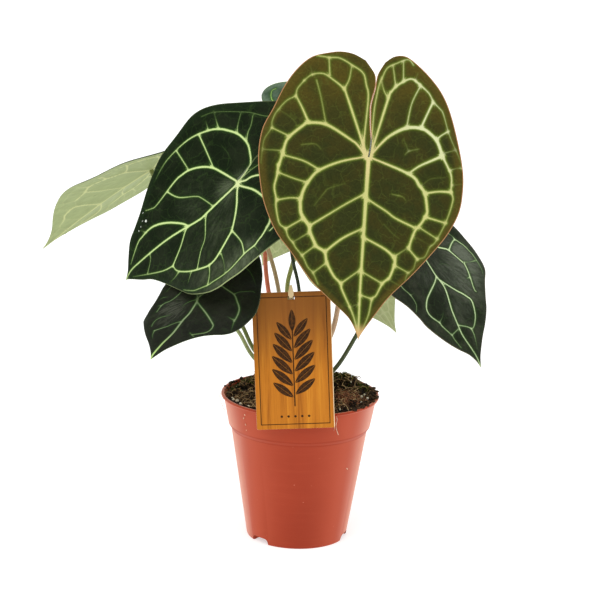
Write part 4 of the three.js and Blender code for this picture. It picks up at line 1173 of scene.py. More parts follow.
def potProfiles():
    # the closed outside up to the rim's top, and the cavity with its rounded mouth
    top = pot["height"]
    under = top - pot["lipHeight"]
    foot, step, collar = pot["footRadius"], pot["stepRadius"], pot["collarFootRadius"]
    stepHeight, collarHeight = pot["stepHeight"], pot["collarFootHeight"]
    rim = pot["rimRadius"]
    outside = [
        (0, 0.4), (foot - 4, 0.4), (foot - 3.4, 0), (foot - 1.2, 0), (foot - 0.35, 0.35),
        (foot, 1.2), (step - 0.05, stepHeight - 0.3), (step + 0.25, stepHeight + 0.15),
        (collar - 0.35, collarHeight - 0.45), (collar, collarHeight + 0.1),
        (pot["collarTopRadius"], under - 0.4), (pot["collarTopRadius"] + 0.25, under),
        (rim - 0.4, under + 0.3), (rim, under + 0.7), (rim, top - 0.7), (rim - 0.2, top - 0.2),
        (rim - 0.7, top), (0, top),
    ]
    cavity = [
        (0, pot["floor"]), (potInner(4) - 1.2, pot["floor"]), (potInner(4), 4),
        (potInner(stepHeight), stepHeight), (potInner(collarHeight + 0.1), collarHeight),
        (potInner(under), under - 1.4), (rim - 2.35, top - 0.8), (rim - 2.15, top - 0.25),
        (rim - 1.6, top + 0.05), (rim - 1.4, top + 2), (0, top + 2),
    ]
    return outside, cavity


def cutAway(mesh, cutters, name):
    # takes every cutter out of the mesh and returns the result as a new mesh
    whole = bpy.data.objects.new(name, mesh)
    tool = bpy.data.objects.new(name + "Tool", cutters)
    for item in (whole, tool):
        bpy.context.scene.collection.objects.link(item)
    cut = whole.modifiers.new("cut", "BOOLEAN")
    cut.operation = "DIFFERENCE"
    cut.solver = "EXACT"
    cut.object = tool
    ready = whole.evaluated_get(bpy.context.evaluated_depsgraph_get())
    result = bpy.data.meshes.new_from_object(ready)
    for item in (whole, tool):
        bpy.data.objects.remove(item)
    return result


def potMaterial():
    material, shader = newMaterial("pot", 0.4, 0.12)
    place = objectPlace(material)
    keys = ("tone", "deepTone", "streakAndSheenTone", "dustAndSheenTone")
    body, deep, pale, edge = (tone(*pot[key]) for key in keys)
    clouds = grain(material, place, 14, detail=3)
    base = mixTone(material, fade(material, clouds, 0.35, 0.7), body, deep)
    flow = grain(material, place, 1.0, detail=4, stretch=(30, 30, 420))
    base = mixTone(material, fade(material, flow, 0.5, 0.75, 0.0, 0.12), base, pale)
    dust = fade(material, grain(material, place, 420, detail=1), 0.78, 0.8, 0.0, 0.4)
    base = mixTone(material, dust, base, edge)
    # painted sheen: the colour lightens where the surface is seen at a grazing angle, standing in for
    # reflected light
    slantSheen = addNode(material, "ShaderNodeLayerWeight", {"Blend": 0.5}).outputs["Facing"]
    # but less of that painted sheen on the small slope under the collar
    slope = (pot["stepHeight"] + pot["collarFootHeight"]) / 2 * mm
    away = calc(material, "SUBTRACT", axisOf(material, place, "Z"), slope)
    near, far = pot["slopeReach"]
    kept = fade(material, calc(material, "ABSOLUTE", away), near * mm, far * mm, pot["slopeShare"], 1.0)
    slantSheen = times(material, slantSheen, kept)
    base = mixTone(material, fade(material, slantSheen, 0.08, 0.5, 0.0, 0.8), base, pale)
    base = mixTone(material, fade(material, slantSheen, 0.5, 0.95, 0.0, 0.9), base, edge)
    plug(material, base, shader, "Base Color")
    rough = fade(material, clouds, 0.3, 0.7, 0.36, 0.46)
    plug(material, rough, shader, "Roughness")
    bumped(material, shader, flow, 0.06 * mm, 0.4)
    return material


def spun(profile):
    made = bmesh.new()
    spinProfile(made, profile, pot["steps"])
    return closedMesh(made, "spun")


def notchBoxes(margin):
    # the drain notches through the foot, grown by the margin
    notches = bmesh.new()
    height = pot["notchHeight"] + margin
    width = pot["notchWidth"] + 2 * margin
    depth = pot["notchDepth"] + margin
    for number in range(pot["notchCount"]):
        angle = math.radians(pot["firstNotchAngle"] + 360 / pot["notchCount"] * number)
        size = Matrix.Diagonal((depth + 2, width, height + 12, 1))
        reach = Matrix.Translation((pot["footRadius"] + 1 - depth / 2, 0, height / 2 - 6))
        box = bmesh.ops.create_cube(notches, size=1, matrix=reach @ size)["verts"]
        rounded = list({edge for vertex in box for edge in vertex.link_edges
                        if abs(edge.verts[0].co.x - edge.verts[1].co.x) > 1})
        bevelled = bevelEdges(notches, rounded, pot["notchCorner"] + margin / 2, 6)
        turned = [vertex for vertex in set(box) | set(bevelled["verts"]) if vertex.is_valid]
        bmesh.ops.rotate(notches, verts=turned, cent=(0, 0, 0),
                         matrix=Matrix.Rotation(angle, 3, "Z"))
    toMetres(notches)
    return toMesh(notches, "notches")


def makeStrays():
    made = bmesh.new()
    made.verts.layers.float.new("along")
    for points, thick in pot["strays"]:
        line = centripetal([Vector(place) for place in points], 6 * (len(points) - 1))
        sweptTube(made, line, [thick] * len(line), 6)
    material, shader = newMaterial("strays", 0.8, 0.1)
    shades = fade(material, grain(material, objectPlace(material), 400, detail=2), 0.35, 0.65)
    first, second = (tone(*value) for value in pot["strayTones"])
    plug(material, mixTone(material, shades, first, second), shader, "Base Color")
    toPiece("pot_strays", closedMesh(made, "pot_strays"), material, "peat", "pot")


def makePot():
    outside, cavity = potProfiles()
    # the notches' roofs stand up inside the pot as low humps
    hollow = cutAway(spun(cavity), notchBoxes(pot["wall"]), "pot_hollow")
    mesh = cutAway(spun(outside), hollow, "pot_shell")
    mesh = cutAway(mesh, notchBoxes(0), "pot_cut")
    shaped = bmesh.new()
    shaped.from_mesh(mesh)
    toPiece("pot_fine", toMesh(shaped, "pot_fine", 32), potMaterial(), "pot", "pot")
    makeStrays()


makePot()
print("pot made")


# peat: a lumpy top with crumbs, fibres, moss and perlite

peat = {
    "seed": 11,
    "edgeHeight": 108.5,
    "radius": 55.9,
    # the solid's mounds, and the loose heaps over them: x, y, rise, spread
    "mounds": [(-2, 0, 4.5, 20), (34, 26, 10, 19), (-38, 30, 4, 16), (20, -34, 1.5, 14)],
    "heaps": [(42, 32, -1.0, 13), (50, 4, 2.0, 9), (34, -20, 6.5, 10), (-44, 30, 0.5, 12),
              (-53, 2, 1.0, 8), (4, 46, 0.5, 16)],
    "lump": 0.45,
    # how far the loose peat stands over the solid's edge: direction in degrees, rise
    "edgeRises": [(-180, 0.9), (-135, 1.4), (-90, 1.8), (-40, 2.6), (0, 2.6), (45, 2.0),
                  (90, 1.6), (140, 1.2), (180, 0.9)],
    "cells": 150,
    "tones": ((17, 12, 10), (56, 41, 30)),
    # lumps: number, share of the radius that they reach, sizes, thickness by size, how deep
    # they sit by size, unevenness, tones
    "crumbs": {"count": 1500, "reach": 0.985, "sizes": (0.6, 2.2), "squash": (0.35, 0.9),
               "sink": 0.1, "unevenness": 0.55, "tones": ((24, 17, 13), (98, 72, 52))},
    "chips": {"count": 240, "reach": 0.97, "sizes": (0.5, 1.5), "squash": (0.2, 0.4),
              "sink": -0.4, "unevenness": 0.5, "tones": ((136, 104, 72), (188, 156, 116))},
    "perlite": {"count": 12, "reach": 0.97, "sizes": (0.7, 1.5), "squash": (0.7, 1),
                "sink": -0.5, "unevenness": 0.4, "tones": ((226, 214, 192), (246, 240, 226)),
                "spots": [(-51, -14), (-47, -24), (-44, -29), (46, -24), (-38, -34), (30, -40),
                          (-54, -8), (-50, -20), (51, -12)]},
    # crumbs on the rim: directions in degrees, distances from the middle
    "rimBits": {"count": 90, "arc": (-50, 175), "reach": (56.0, 59.3), "sizes": (0.7, 2.0),
                "squash": (0.4, 0.8), "unevenness": 0.5},
    # fibres over the whole, and those that stand up along the back
    "fibres": {"count": 700, "reach": 0.93, "sizes": (0.6, 1.45), "kinds": 24,
               "tones": ((112, 80, 50), (240, 206, 158))},
    "standing": {"count": 90, "arc": (15, 165), "reach": (42, 56), "sizes": (0.4, 0.9),
                 "tips": (-1.4, -0.5)},
    # a heap of reddish-brown fibres at the front
    "redHeap": {"count": 190, "place": (35, -21), "spread": 8, "sizes": (0.6, 1.15),
                "kinds": 12, "tones": ((104, 62, 42), (196, 134, 98))},
    # moss patches: x, y, spread, number of tufts
    "moss": [(38, 30, 9, 150), (50, 12, 5, 40), (-42, 34, 8, 70), (-52, 14, 5, 30),
             (22, 46, 8, 50), (-20, 48, 9, 50), (0, 8, 16, 60)],
    "tuft": {"kinds": 10, "leaflets": 13, "lengths": (1.3, 3.0), "tilts": (0.1, 1.25),
             "sizes": (0.55, 1.15), "tones": ((44, 54, 22), (86, 98, 40), (152, 156, 72))},
}


def heaped(height, x, y, heaps):
    for centreX, centreY, rise, spread in heaps:
        height += rise * math.exp(-(math.hypot(x - centreX, y - centreY) / spread) ** 2)
    return height


def peatHeight(x, y):
    # the solid's mounds, settled to the edge
    lumps = math.sin(x * 0.31 + 1.3) * math.cos(y * 0.27) + math.sin(x * 0.17 - y * 0.23)
    settle = min(1, max(0, 1 - math.hypot(x, y) / peat["radius"]) * 6)
    full = heaped(peat["edgeHeight"], x, y, peat["mounds"]) + peat["lump"] * lumps
    return peat["edgeHeight"] + (full - peat["edgeHeight"]) * settle


def roughPeat(x, y):
    height = heaped(peatHeight(x, y), x, y, peat["heaps"])
    angles, rises = zip(*peat["edgeRises"])
    rise = float(np.interp(math.degrees(math.atan2(y, x)), angles, rises))
    height += rise * (0.3 + 0.7 * (math.hypot(x, y) / peat["radius"]) ** 2)
    place = Vector((x, y, 0))
    height += noise.noise(place * 0.16) * 1.6
    height += noise.noise(place * 0.42 + Vector((7, 3, 1))) * 1.3
    return height + noise.noise(place * 1.3 + Vector((1, 9, 4))) * 0.55


def peatMaterial(name, tones, roughness=0.9):
    material, shader = newMaterial(name, roughness, 0.15)
    place = objectPlace(material)
    dark, light = (tone(*value) for value in tones)
    clumps = grain(material, place, 150, detail=5, rough=0.7)
    fine = grain(material, place, 1500, detail=3)
    base = mixTone(material, fade(material, clumps, 0.36, 0.66), dark, light)
    base = mixTone(material, fade(material, fine, 0.45, 0.8, 0.0, 0.5), base, tone(18, 12, 8))
    plug(material, base, shader, "Base Color")
    bumped(material, shader, fine, 0.4 * mm, 0.7)
    return material


def boundaryOf(made):
    return [edge for edge in made.edges if edge.is_boundary]


def makePeatTop():
    made = bmesh.new()
    bmesh.ops.create_grid(made, x_segments=peat["cells"], y_segments=peat["cells"], size=1)
    for vertex in made.verts:
        x, y = vertex.co.x, vertex.co.y
        # the square grid drawn in to a disc
        stretch = math.sqrt(max(1 - 0.5 * y * y, 0)), math.sqrt(max(1 - 0.5 * x * x, 0))
        x, y = x * stretch[0] * peat["radius"], y * stretch[1] * peat["radius"]
        vertex.co = (x, y, roughPeat(x, y))
    skirt = vertsOf(bmesh.ops.extrude_edge_only(made, edges=boundaryOf(made)))
    lowest = potInner(pot["stepHeight"]) - stalk["clearance"]
    for vertex in skirt:
        shrink = lowest / math.hypot(vertex.co.x, vertex.co.y)
        vertex.co = (vertex.co.x * shrink, vertex.co.y * shrink, pot["stepHeight"] + 0.3)
    foot = vertsOf(bmesh.ops.extrude_edge_only(made, edges=boundaryOf(made)))
    bottom = pot["notchHeight"] + pot["wall"] + 0.5
    shrink = (potInner(bottom) - 0.5) / lowest
    for vertex in foot:
        vertex.co = (vertex.co.x * shrink, vertex.co.y * shrink, bottom)
    bmesh.ops.edgeloop_fill(made, edges=boundaryOf(made))
    material = peatMaterial("peat", peat["tones"])
    toPiece("peat_fine", closedMesh(made, "peat_fine"), material, "peat", "soil")


def scatterPlace(draw, reach):
    # an even random place on the peat, in millimetres
    distance = math.sqrt(draw.random()) * peat["radius"] * reach
    angle = draw.random() * math.tau
    return distance * math.cos(angle), distance * math.sin(angle)


def gaussPlace(draw, x, y, spread, edge):
    # a random place round x, y, or nothing where it falls within this much of the edge
    place = draw.gauss(x, spread), draw.gauss(y, spread)
    return None if math.hypot(*place) > peat["radius"] - edge else place


def scatterPiece(name, kinds, placements, material):
    # one of the kinds of small mesh at each placement, all in one piece
    whole = bmesh.new()
    for kind, placement in placements:
        copied = kinds[kind].copy()
        copied.transform(placement)
        whole.from_mesh(copied)
        bpy.data.meshes.remove(copied)
    toMetres(whole)
    toPiece(name, toMesh(whole, name), material, "peat", "soil")


def onPeat(x, y, rise):
    return Matrix.Translation((x, y, roughPeat(x, y) + rise))


def turnedRound(draw):
    return Matrix.Rotation(draw.random() * math.tau, 4, "Z")


def tippedOver(draw, tip, roll):
    tipped = Matrix.Rotation(draw.gauss(0, tip), 4, "Y")
    return tipped @ Matrix.Rotation(draw.gauss(0, roll), 4, "X")


def lumpKinds(draw, unevenness, count=8):
    kinds = []
    for number in range(count):
        made = bmesh.new()
        bmesh.ops.create_icosphere(made, subdivisions=2, radius=1)
        shift = Vector((number * 5.3, 2.1, draw.random() * 9))
        for vertex in made.verts:
            vertex.co += Vector(noise.noise_vector(vertex.co * 1.4 + shift)) * unevenness
        kinds.append(toMesh(made, f"lump{number}"))
    return kinds


def lumpShape(draw, size, narrowest, squash):
    return Matrix.Diagonal((size, size * draw.uniform(narrowest, 1), size * draw.uniform(*squash), 1))


def randomTurn(draw):
    axis = Vector((draw.uniform(-1, 1), draw.uniform(-1, 1), draw.uniform(-1, 1) + 0.01))
    return Matrix.Rotation(draw.random() * math.tau, 4, axis.normalized())


def makeLumps(name, draw, settings, material):
    spots = [scatterPlace(draw, settings["reach"]) for number in range(settings["count"])]
    kinds = lumpKinds(draw, settings["unevenness"])
    placements = []
    for x, y in spots + settings.get("spots", []):
        size = draw.uniform(*settings["sizes"])
        shape = lumpShape(draw, size, 0.55, settings["squash"])
        place = onPeat(x, y, -size * settings["sink"])
        placements.append((draw.randrange(len(kinds)), place @ randomTurn(draw) @ shape))
    scatterPiece(name, kinds, placements, material)


def makeRimBits(draw, material):
    # crumbs that lie on the rim or lean over its inner edge
    bits = peat["rimBits"]
    kinds = lumpKinds(draw, bits["unevenness"])
    placements = []
    for number in range(bits["count"]):
        angle = math.radians(draw.uniform(*bits["arc"]))
        reach = draw.uniform(*bits["reach"])
        size = draw.uniform(*bits["sizes"])
        shape = lumpShape(draw, size, 0.5, bits["squash"])
        lie = pot["height"] + size * 0.15
        place = Matrix.Translation((reach * math.cos(angle), reach * math.sin(angle), lie))
        turn = turnedRound(draw)
        placements.append((draw.randrange(len(kinds)), place @ turn @ shape))
    scatterPiece("peat_rim_bits", kinds, placements, material)


def fibreKinds(draw, count):
    # curled threads about 8 mm long, lying along x
    kinds = []
    for number in range(count):
        made = bmesh.new()
        made.verts.layers.float.new("along")
        heading = 0.0
        bend = draw.uniform(-0.5, 0.5)
        lift = draw.uniform(0.4, 2.2)
        spot = Vector((-3.5, 0, 0))
        line = []
        for joint in range(8):
            line.append(spot + up * lift * math.sin(math.pi * joint / 7))
            heading += bend + draw.uniform(-0.4, 0.4)
            spot = spot + Vector((math.cos(heading), math.sin(heading), 0)) * 1.1
        thick = draw.uniform(0.09, 0.3)
        sweptTube(made, line, [thick * (1 - 0.09 * joint) for joint in range(8)], 4)
        bmesh.ops.recalc_face_normals(made, faces=made.faces)
        kinds.append(toMesh(made, f"fibre{number}"))
    return kinds


def makeFibres(draw):
    fibres, standing = peat["fibres"], peat["standing"]
    kinds = fibreKinds(draw, fibres["kinds"])
    placements = []
    for number in range(fibres["count"]):
        x, y = scatterPlace(draw, fibres["reach"])
        size = draw.uniform(*fibres["sizes"])
        # short ones beside the rim
        if math.hypot(x, y) > peat["radius"] - 5:
            size *= 0.55
        turn = turnedRound(draw)
        lie = onPeat(x, y, 0.5) @ turn @ tippedOver(draw, 0.35, 0.8) @ Matrix.Scale(size, 4)
        placements.append((draw.randrange(len(kinds)), lie))
    for number in range(standing["count"]):
        angle = math.radians(draw.uniform(*standing["arc"]))
        reach = draw.uniform(*standing["reach"])
        turn = turnedRound(draw)
        tip = Matrix.Rotation(draw.uniform(*standing["tips"]), 4, "Y")
        place = onPeat(reach * math.cos(angle), reach * math.sin(angle), 1.2)
        lie = place @ turn @ tip @ Matrix.Scale(draw.uniform(*standing["sizes"]), 4)
        placements.append((draw.randrange(len(kinds)), lie))
    scatterPiece("peat_fibres", kinds, placements, peatMaterial("fibres", fibres["tones"], 0.8))


def makeRedHeap(draw):
    heap = peat["redHeap"]
    kinds = fibreKinds(draw, heap["kinds"])
    placements = []
    for number in range(heap["count"]):
        spot = gaussPlace(draw, *heap["place"], heap["spread"], 2)
        if spot:
            turn = turnedRound(draw)
            lie = onPeat(*spot, 0.7) @ turn @ tippedOver(draw, 0.5, 0.8)
            lie = lie @ Matrix.Scale(draw.uniform(*heap["sizes"]), 4)
            placements.append((draw.randrange(len(kinds)), lie))
    material = peatMaterial("heap_fibres", heap["tones"], 0.85)
    scatterPiece("peat_heap", kinds, placements, material)


def mossKinds(draw):
    # tufts of pointed leaflets
    kinds = []
    for number in range(peat["tuft"]["kinds"]):
        made = bmesh.new()
        for leaflet in range(peat["tuft"]["leaflets"]):
            length = draw.uniform(*peat["tuft"]["lengths"])
            tilt = Matrix.Rotation(draw.uniform(*peat["tuft"]["tilts"]), 4, "Y")
            turn = turnedRound(draw)
            stand = Matrix.Translation((0, 0, length / 2 - 0.2))
            root = Matrix.Translation((draw.uniform(-0.7, 0.7), draw.uniform(-0.7, 0.7), 0))
            bmesh.ops.create_cone(made, cap_ends=True, segments=4, radius1=0.24, radius2=0.03,
                                  depth=length, matrix=root @ turn @ tilt @ stand)
        kinds.append(toMesh(made, f"tuft{number}"))
    return kinds


def makeMoss(draw):
    kinds = mossKinds(draw)
    placements = []
    for x, y, spread, count in peat["moss"]:
        for number in range(count):
            spot = gaussPlace(draw, x, y, spread, 1.5)
            if spot:
                lean = Matrix.Rotation(draw.gauss(0, 0.3), 4, "X")
                lie = onPeat(*spot, 0.3) @ turnedRound(draw) @ lean
                lie = lie @ Matrix.Scale(draw.uniform(*peat["tuft"]["sizes"]), 4)
                placements.append((draw.randrange(len(kinds)), lie))
    material, shader = newMaterial("moss", 0.85, 0.1)
    dark, light, tips = (tone(*value) for value in peat["tuft"]["tones"])
    shades = grain(material, objectPlace(material), 110, detail=3, rough=0.7)
    base = mixTone(material, fade(material, shades, 0.35, 0.55), dark, light)
    base = mixTone(material, fade(material, shades, 0.56, 0.7), base, tips)
    plug(material, base, shader, "Base Color")
    scatterPiece("moss", kinds, placements, material)


def makePeat():
    draw = random.Random(peat["seed"])
    noise.seed_set(peat["seed"])
    makePeatTop()
    material = peatMaterial("crumbs", peat["crumbs"]["tones"])
    makeLumps("peat_crumbs", draw, peat["crumbs"], material)
    makeRimBits(draw, material)
    makeLumps("peat_chips", draw, peat["chips"], peatMaterial("chips", peat["chips"]["tones"]))
    makeFibres(draw)
    makeRedHeap(draw)
    makeMoss(draw)
    material = peatMaterial("perlite", peat["perlite"]["tones"], 0.8)
    makeLumps("perlite", draw, peat["perlite"], material)


makePeat()
print("peat made")


# crown: the short stem among the stalks, in dry papery scales

crown = {
    "seed": 4, "place": (-2, 0), "bottom": 96, "radius": 5, "shoulder": 116, "topRadius": 3,
    "top": 120, "steps": 32, "cuts": 12, "lump": 0.5, "scales": 11, "scaleLength": (9, 15),
    "scaleWidth": 5.5, "scaleThickness": 0.3, "tones": ((78, 56, 36), (150, 118, 80)),
}


def addScale(made, draw, number):
    # one papery scale: a grid bent round the stem and lifted off it towards its tip
    length = draw.uniform(*crown["scaleLength"])
    foot = draw.uniform(crown["bottom"] + 6, crown["shoulder"] - 4)
    scale = bmesh.ops.create_grid(made, x_segments=8, y_segments=14, size=0.5)["verts"]
    for vertex in scale:
        across, share = vertex.co.x * 2, vertex.co.y + 0.5
        width = crown["scaleWidth"] * (1 - share ** 2.2) * (0.75 + 0.25 * math.sin(3 * share))
        angle = across * width / (2 * crown["radius"])
        away = crown["radius"] + 0.35 + 1.4 * share * share + 0.25 * noise.noise(vertex.co * 7)
        vertex.co = (away * math.cos(angle), away * math.sin(angle), foot + length * share)
    bmesh.ops.rotate(made, verts=scale, cent=(0, 0, 0),
                     matrix=Matrix.Rotation(number * 2.4 + draw.uniform(-0.3, 0.3), 3, "Z"))
    faces = list({face for vertex in scale for face in vertex.link_faces})
    bmesh.ops.solidify(made, geom=faces, thickness=crown["scaleThickness"])


def makeCrown():
    draw = random.Random(crown["seed"])
    noise.seed_set(crown["seed"])
    made = bmesh.new()
    profile = [
        (0, crown["bottom"]), (crown["radius"], crown["bottom"]), (crown["radius"], crown["shoulder"]),
        (crown["topRadius"], crown["top"]), (0, crown["top"] + 0.4),
    ]
    spinProfile(made, profile, crown["steps"])
    upright = [edge for edge in made.edges
               if abs(edge.verts[0].co.z - edge.verts[1].co.z) > 3]
    bmesh.ops.subdivide_edges(made, edges=upright, cuts=crown["cuts"], use_grid_fill=True)
    for vertex in made.verts:
        vertex.co += Vector(noise.noise_vector(vertex.co * 0.5)) * crown["lump"]
    for number in range(crown["scales"]):
        addScale(made, draw, number)
    bmesh.ops.remove_doubles(made, verts=made.verts, dist=1e-4)
    bmesh.ops.translate(made, vec=(*crown["place"], 0), verts=made.verts)
    material, shader = newMaterial("crown", 0.8, 0.15)
    place = objectPlace(material)
    threads = grain(material, place, 1.0, detail=5, rough=0.7, stretch=(900, 900, 90))
    dark, light = (tone(*value) for value in crown["tones"])
    base = mixTone(material, fade(material, threads, 0.35, 0.65), dark, light)
    plug(material, base, shader, "Base Color")
    bumped(material, shader, threads, 0.4 * mm, 0.8)
    toPiece("crown_fine", closedMesh(made, "crown_fine"), material, "crown", "crown")


makeCrown()
print("crown made")


# label: a thin wooden card with a printed sprig, hung on the head of a flat stick

card = {
    "width": 57, "height": 102, "thickness": 1, "cornerRadius": 1.0, "edgeRound": 0.4,
    "bottomCentre": (-2.4, -61.4, 102.4), "leanBack": 2, "roll": 3.6,
    "slotCentre": 97.5, "slotWidth": 5, "slotHeight": 2.4,
    "printRise": 0.06,
    "frameInset": 3.4, "frameWidth": 0.6,
    "stemFoot": 17, "stemTop": 84, "stemWidth": 0.9,
    "leafPairs": 6, "leafLength": (14, 20), "leafWidth": 0.32, "leafTilt": 52,
    "leafGap": 0.16,
    "dots": 5, "dotSize": 0.9, "dotHeight": 9.5, "dotStep": 5,
    "inkTones": ((46, 28, 12), (74, 44, 16)),
    # its wood: dark lines, body, light bands, cut edges, and the top darkened by painted shade
    "woodTones": ((146, 82, 18), (184, 112, 29), (202, 131, 38), (232, 206, 168), (128, 78, 32)),
}
stick = {
    "width": 4, "thickness": 1.6, "foot": -14, "footSetback": 10.8, "neckWidth": 2.4,
    "neckHeight": 1.4, "headThickness": 1.4, "headHalfWidth": 2, "barbBottom": 1.4,
    "barbTop": 4.4, "tipHeight": 9.6, "tipHalfWidth": 1, "clearance": 0.3, "edgeRound": 0.22,
    "woodTones": ((172, 142, 98), (206, 182, 138), (226, 206, 168), (220, 200, 160), (212, 188, 146)),
}
lean = Matrix.Rotation(math.radians(-card["leanBack"]), 4, "X")
turn = Matrix.Rotation(math.radians(-card["roll"]), 4, "Y")
cardPlace = Matrix.Translation(Vector(card["bottomCentre"])) @ lean @ turn


def woodMaterial(name, tones):
    # upright grain, read in the card's own directions, with a darker tone towards the top
    dark, body, light, edge, shadedTop = (tone(*value) for value in tones)
    material, shader = newMaterial(name, 0.55, 0.12)
    place = reading(material, "grainPlace", "Vector")
    bands = grain(material, place, 1.0, detail=4, rough=0.6, stretch=(170, 60, 7), warp=0.7)
    lines = grain(material, place, 1.0, detail=4, rough=0.7, stretch=(1500, 400, 26))
    base = mixTone(material, fade(material, bands, 0.34, 0.52), dark, body)
    base = mixTone(material, fade(material, bands, 0.54, 0.7, 0.0, 0.8), base, light)
    base = mixTone(material, fade(material, lines, 0.5, 0.7, 0.0, 0.5), base, dark)
    # painted shade of the leaves above: darker towards the top
    topShade = fade(material, axisOf(material, place, "Z"), 0.035, 0.095, 0.0, 0.85)
    base = mixTone(material, topShade, base, shadedTop)
    base = mixTone(material, reading(material, "cutEdge"), base, edge)
    plug(material, base, shader, "Base Color")
    bumped(material, shader, lines, 0.12 * mm, 0.5)
    return material


def finishWood(mesh, name, material, slotName, node, edgeShare):
    # notes the grain directions and the cut edges, then puts the mesh in its place
    made = bmesh.new()
    made.from_mesh(mesh)
    grainPlace = made.verts.layers.float_vector.new("grainPlace")
    cutEdge = made.verts.layers.float.new("cutEdge")
    for vertex in made.verts:
        vertex[grainPlace] = vertex.co * mm
        least = min(abs(face.normal.x) + abs(face.normal.z) for face in vertex.link_faces)
        # the right edge is worn pale on its front round too
        worn = vertex.co.x > card["width"] / 2 - card["edgeRound"] - 0.05
        vertex[cutEdge] = edgeShare if least > 0.5 or worn else 0.0
    bmesh.ops.transform(made, matrix=Matrix.Scale(mm, 4) @ cardPlace, verts=made.verts)
    toPiece(name, toMesh(made, name, 35), material, slotName, node)


def depthOf(edge):
    # how far the edge runs through the card
    return abs(edge.verts[0].co.y - edge.verts[1].co.y)


def makeCard():
    made = bmesh.new()
    size = Matrix.Diagonal((card["width"], card["thickness"], card["height"], 1))
    place = Matrix.Translation((0, 0, card["height"] / 2))
    bmesh.ops.create_cube(made, size=1, matrix=place @ size)
    bevelEdges(made, [edge for edge in made.edges if depthOf(edge) > 0.5], card["cornerRadius"], 4)
    outline = [edge for edge in made.edges if depthOf(edge) < 0.1 and edge.calc_face_angle(0) > 1.2]
    bevelEdges(made, outline, card["edgeRound"], 2)
    slot = bmesh.new()
    size = Matrix.Diagonal((card["slotWidth"], 4, card["slotHeight"], 1))
    place = Matrix.Translation((0, 0, card["slotCentre"]))
    bmesh.ops.create_cube(slot, size=1, matrix=place @ size)
    mesh = cutAway(toMesh(made, "card_plain"), toMesh(slot, "card_slot"), "card_cut")
    wood = woodMaterial("label_wood", card["woodTones"])
    finishWood(mesh, "label_fine", wood, "label_wood", "label", 1.0)


def onCard(x, z, angle=0):
    # lays a flat shape just inside the card's front face
    flat = Matrix.Rotation(math.radians(90), 4, "X")
    turn = Matrix.Rotation(math.radians(angle), 4, "Y")
    return Matrix.Translation((x, 0.02 - card["thickness"] / 2, z)) @ turn @ flat


def addPrint(made, verts):
    # raises the flat shape of these vertices off the card's front face
    faces = list({face for vertex in verts for face in vertex.link_faces})
    raiseFaces(made, faces, (0, -card["printRise"] - 0.02, 0))


def printBar(made, x, z, width, height):
    size = Matrix.Diagonal((width, height, 1, 1))
    addPrint(made, bmesh.ops.create_grid(made, x_segments=1, y_segments=1, size=0.5,
                                         matrix=onCard(x, z) @ size)["verts"])


def printHalfLeaf(made, foot, angle, length, width, side):
    # half of a pointed oval, beside the leaf's clear middle line
    part = bmesh.new()
    bmesh.ops.create_circle(part, cap_ends=True, segments=40, radius=1)
    gap = card["leafGap"] / width
    bmesh.ops.bisect_plane(part, geom=part.verts[:] + part.edges[:] + part.faces[:],
                           plane_co=(gap * side, 0, 0), plane_no=(-side, 0, 0), clear_outer=True)
    for vertex in part.verts:
        taper = 1 - 0.45 * abs(vertex.co.y) ** 2
        vertex.co = (vertex.co.x * width * taper, (vertex.co.y + 1) * length / 2, 0)
    bmesh.ops.transform(part, matrix=onCard(*foot, angle), verts=part.verts)
    addPrint(part, part.verts[:])
    mesh = bpy.data.meshes.new("leaf_print")
    part.to_mesh(mesh)
    part.free()
    made.from_mesh(mesh)
    bpy.data.meshes.remove(mesh)


def printLeaf(made, foot, angle, length):
    width = length * card["leafWidth"] / 2
    for side in (1, -1):
        printHalfLeaf(made, foot, angle, length, width, side)


def printDot(made, x, z, radius):
    addPrint(made, bmesh.ops.create_circle(made, cap_ends=True, segments=24, radius=radius,
                                           matrix=onCard(x, z))["verts"])


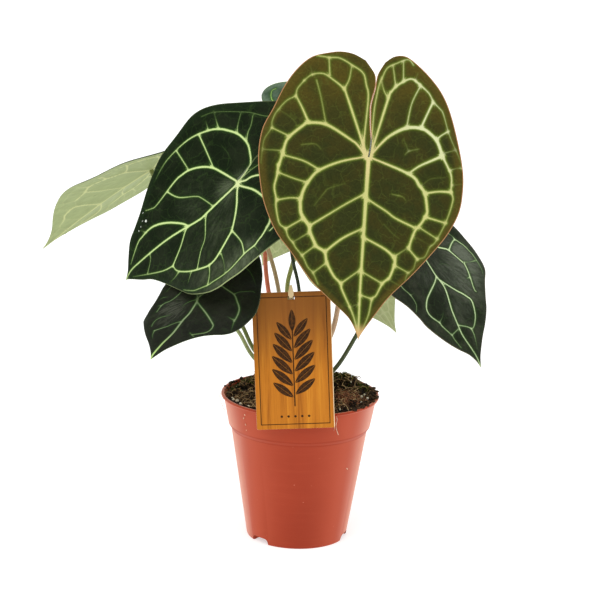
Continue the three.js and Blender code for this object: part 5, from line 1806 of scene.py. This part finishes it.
def makePrint():
    made = bmesh.new()
    inset, line = card["frameInset"], card["frameWidth"]
    tall, wide = card["height"] - 2 * inset, card["width"] - 2 * inset
    for side in (-1, 1):
        printBar(made, side * wide / 2, card["height"] / 2, line, tall)
        printBar(made, 0, card["height"] / 2 + side * (tall - line) / 2, wide - line, line)
    low, high = card["stemFoot"], card["stemTop"]
    printBar(made, 0, (low + high) / 2 - 4, card["stemWidth"], high - low - 8)
    for pair in range(card["leafPairs"]):
        share = pair / (card["leafPairs"] - 1)
        height = low + 8 + (high - low - 24) * share
        shortest, longest = card["leafLength"]
        length = shortest + (longest - shortest) * math.sin(math.pi * (0.25 + 0.6 * share))
        for side in (-1, 1):
            tilt = side * (card["leafTilt"] - 14 * share)
            printLeaf(made, (side * 0.9, height + side * 1.1), tilt, length)
    printLeaf(made, (0, high - 11), 0, 16)
    for dot in range(card["dots"]):
        offset = (dot - (card["dots"] - 1) / 2) * card["dotStep"]
        printDot(made, offset, card["dotHeight"], card["dotSize"])
    bmesh.ops.recalc_face_normals(made, faces=made.faces)
    bmesh.ops.transform(made, matrix=Matrix.Scale(mm, 4) @ cardPlace, verts=made.verts)
    material, shader = newMaterial("label_ink", 0.6, 0.1)
    wear = grain(material, objectPlace(material), 600, detail=3)
    dark, worn = (tone(*value) for value in card["inkTones"])
    ink = mixTone(material, fade(material, wear, 0.35, 0.7), dark, worn)
    plug(material, ink, shader, "Base Color")
    toPiece("label_print", toMesh(made, "label_print", 30), material, "label_wood", "label")


def sideProfile(made, outline, width):
    # a flat outline in y and z, extruded to a bar of this width
    face = made.faces.new([made.verts.new((-width / 2, y, z)) for y, z in outline])
    raiseFaces(made, [face], (width, 0, 0))


def makeStick():
    # behind the card, then through its slot to the arrow head on the front
    made = bmesh.new()
    back = card["thickness"] / 2 + stick["clearance"]
    front = -back - stick["headThickness"]
    centre, thick = card["slotCentre"], stick["thickness"]
    low = centre - stick["neckHeight"] / 2
    high = centre + stick["neckHeight"] / 2
    foot, setback = stick["foot"], stick["footSetback"]
    sideProfile(made, [(setback, foot), (setback + thick, foot), (back + thick, high), (back, high)],
                stick["width"])
    sideProfile(made, [(front, low), (back + 0.4, low), (back + 0.4, high), (front, high)],
                stick["neckWidth"])
    barbLow, barbHigh = centre + stick["barbBottom"], centre + stick["barbTop"]
    tip = centre + stick["tipHeight"]
    neck, barb, point = stick["neckWidth"] / 2, stick["headHalfWidth"], stick["tipHalfWidth"]
    right = [(neck, low), (neck, barbLow), (barb, barbLow + 0.5), (barb, barbHigh), (point, tip)]
    outline = right + [(-x, z) for x, z in reversed(right)]
    head = made.faces.new([made.verts.new((x, front, z)) for x, z in outline])
    raiseFaces(made, [head], (0, stick["headThickness"], 0))
    bmesh.ops.recalc_face_normals(made, faces=made.faces)
    bevelEdges(made, made.edges[:], stick["edgeRound"], 2)
    wood = woodMaterial("stick_wood", stick["woodTones"])
    finishWood(toMesh(made, "stick_plain"), "label_stick_fine", wood, "stick_wood", "label_stick", 0.0)


makeCard()
makePrint()
makeStick()
print("label made")
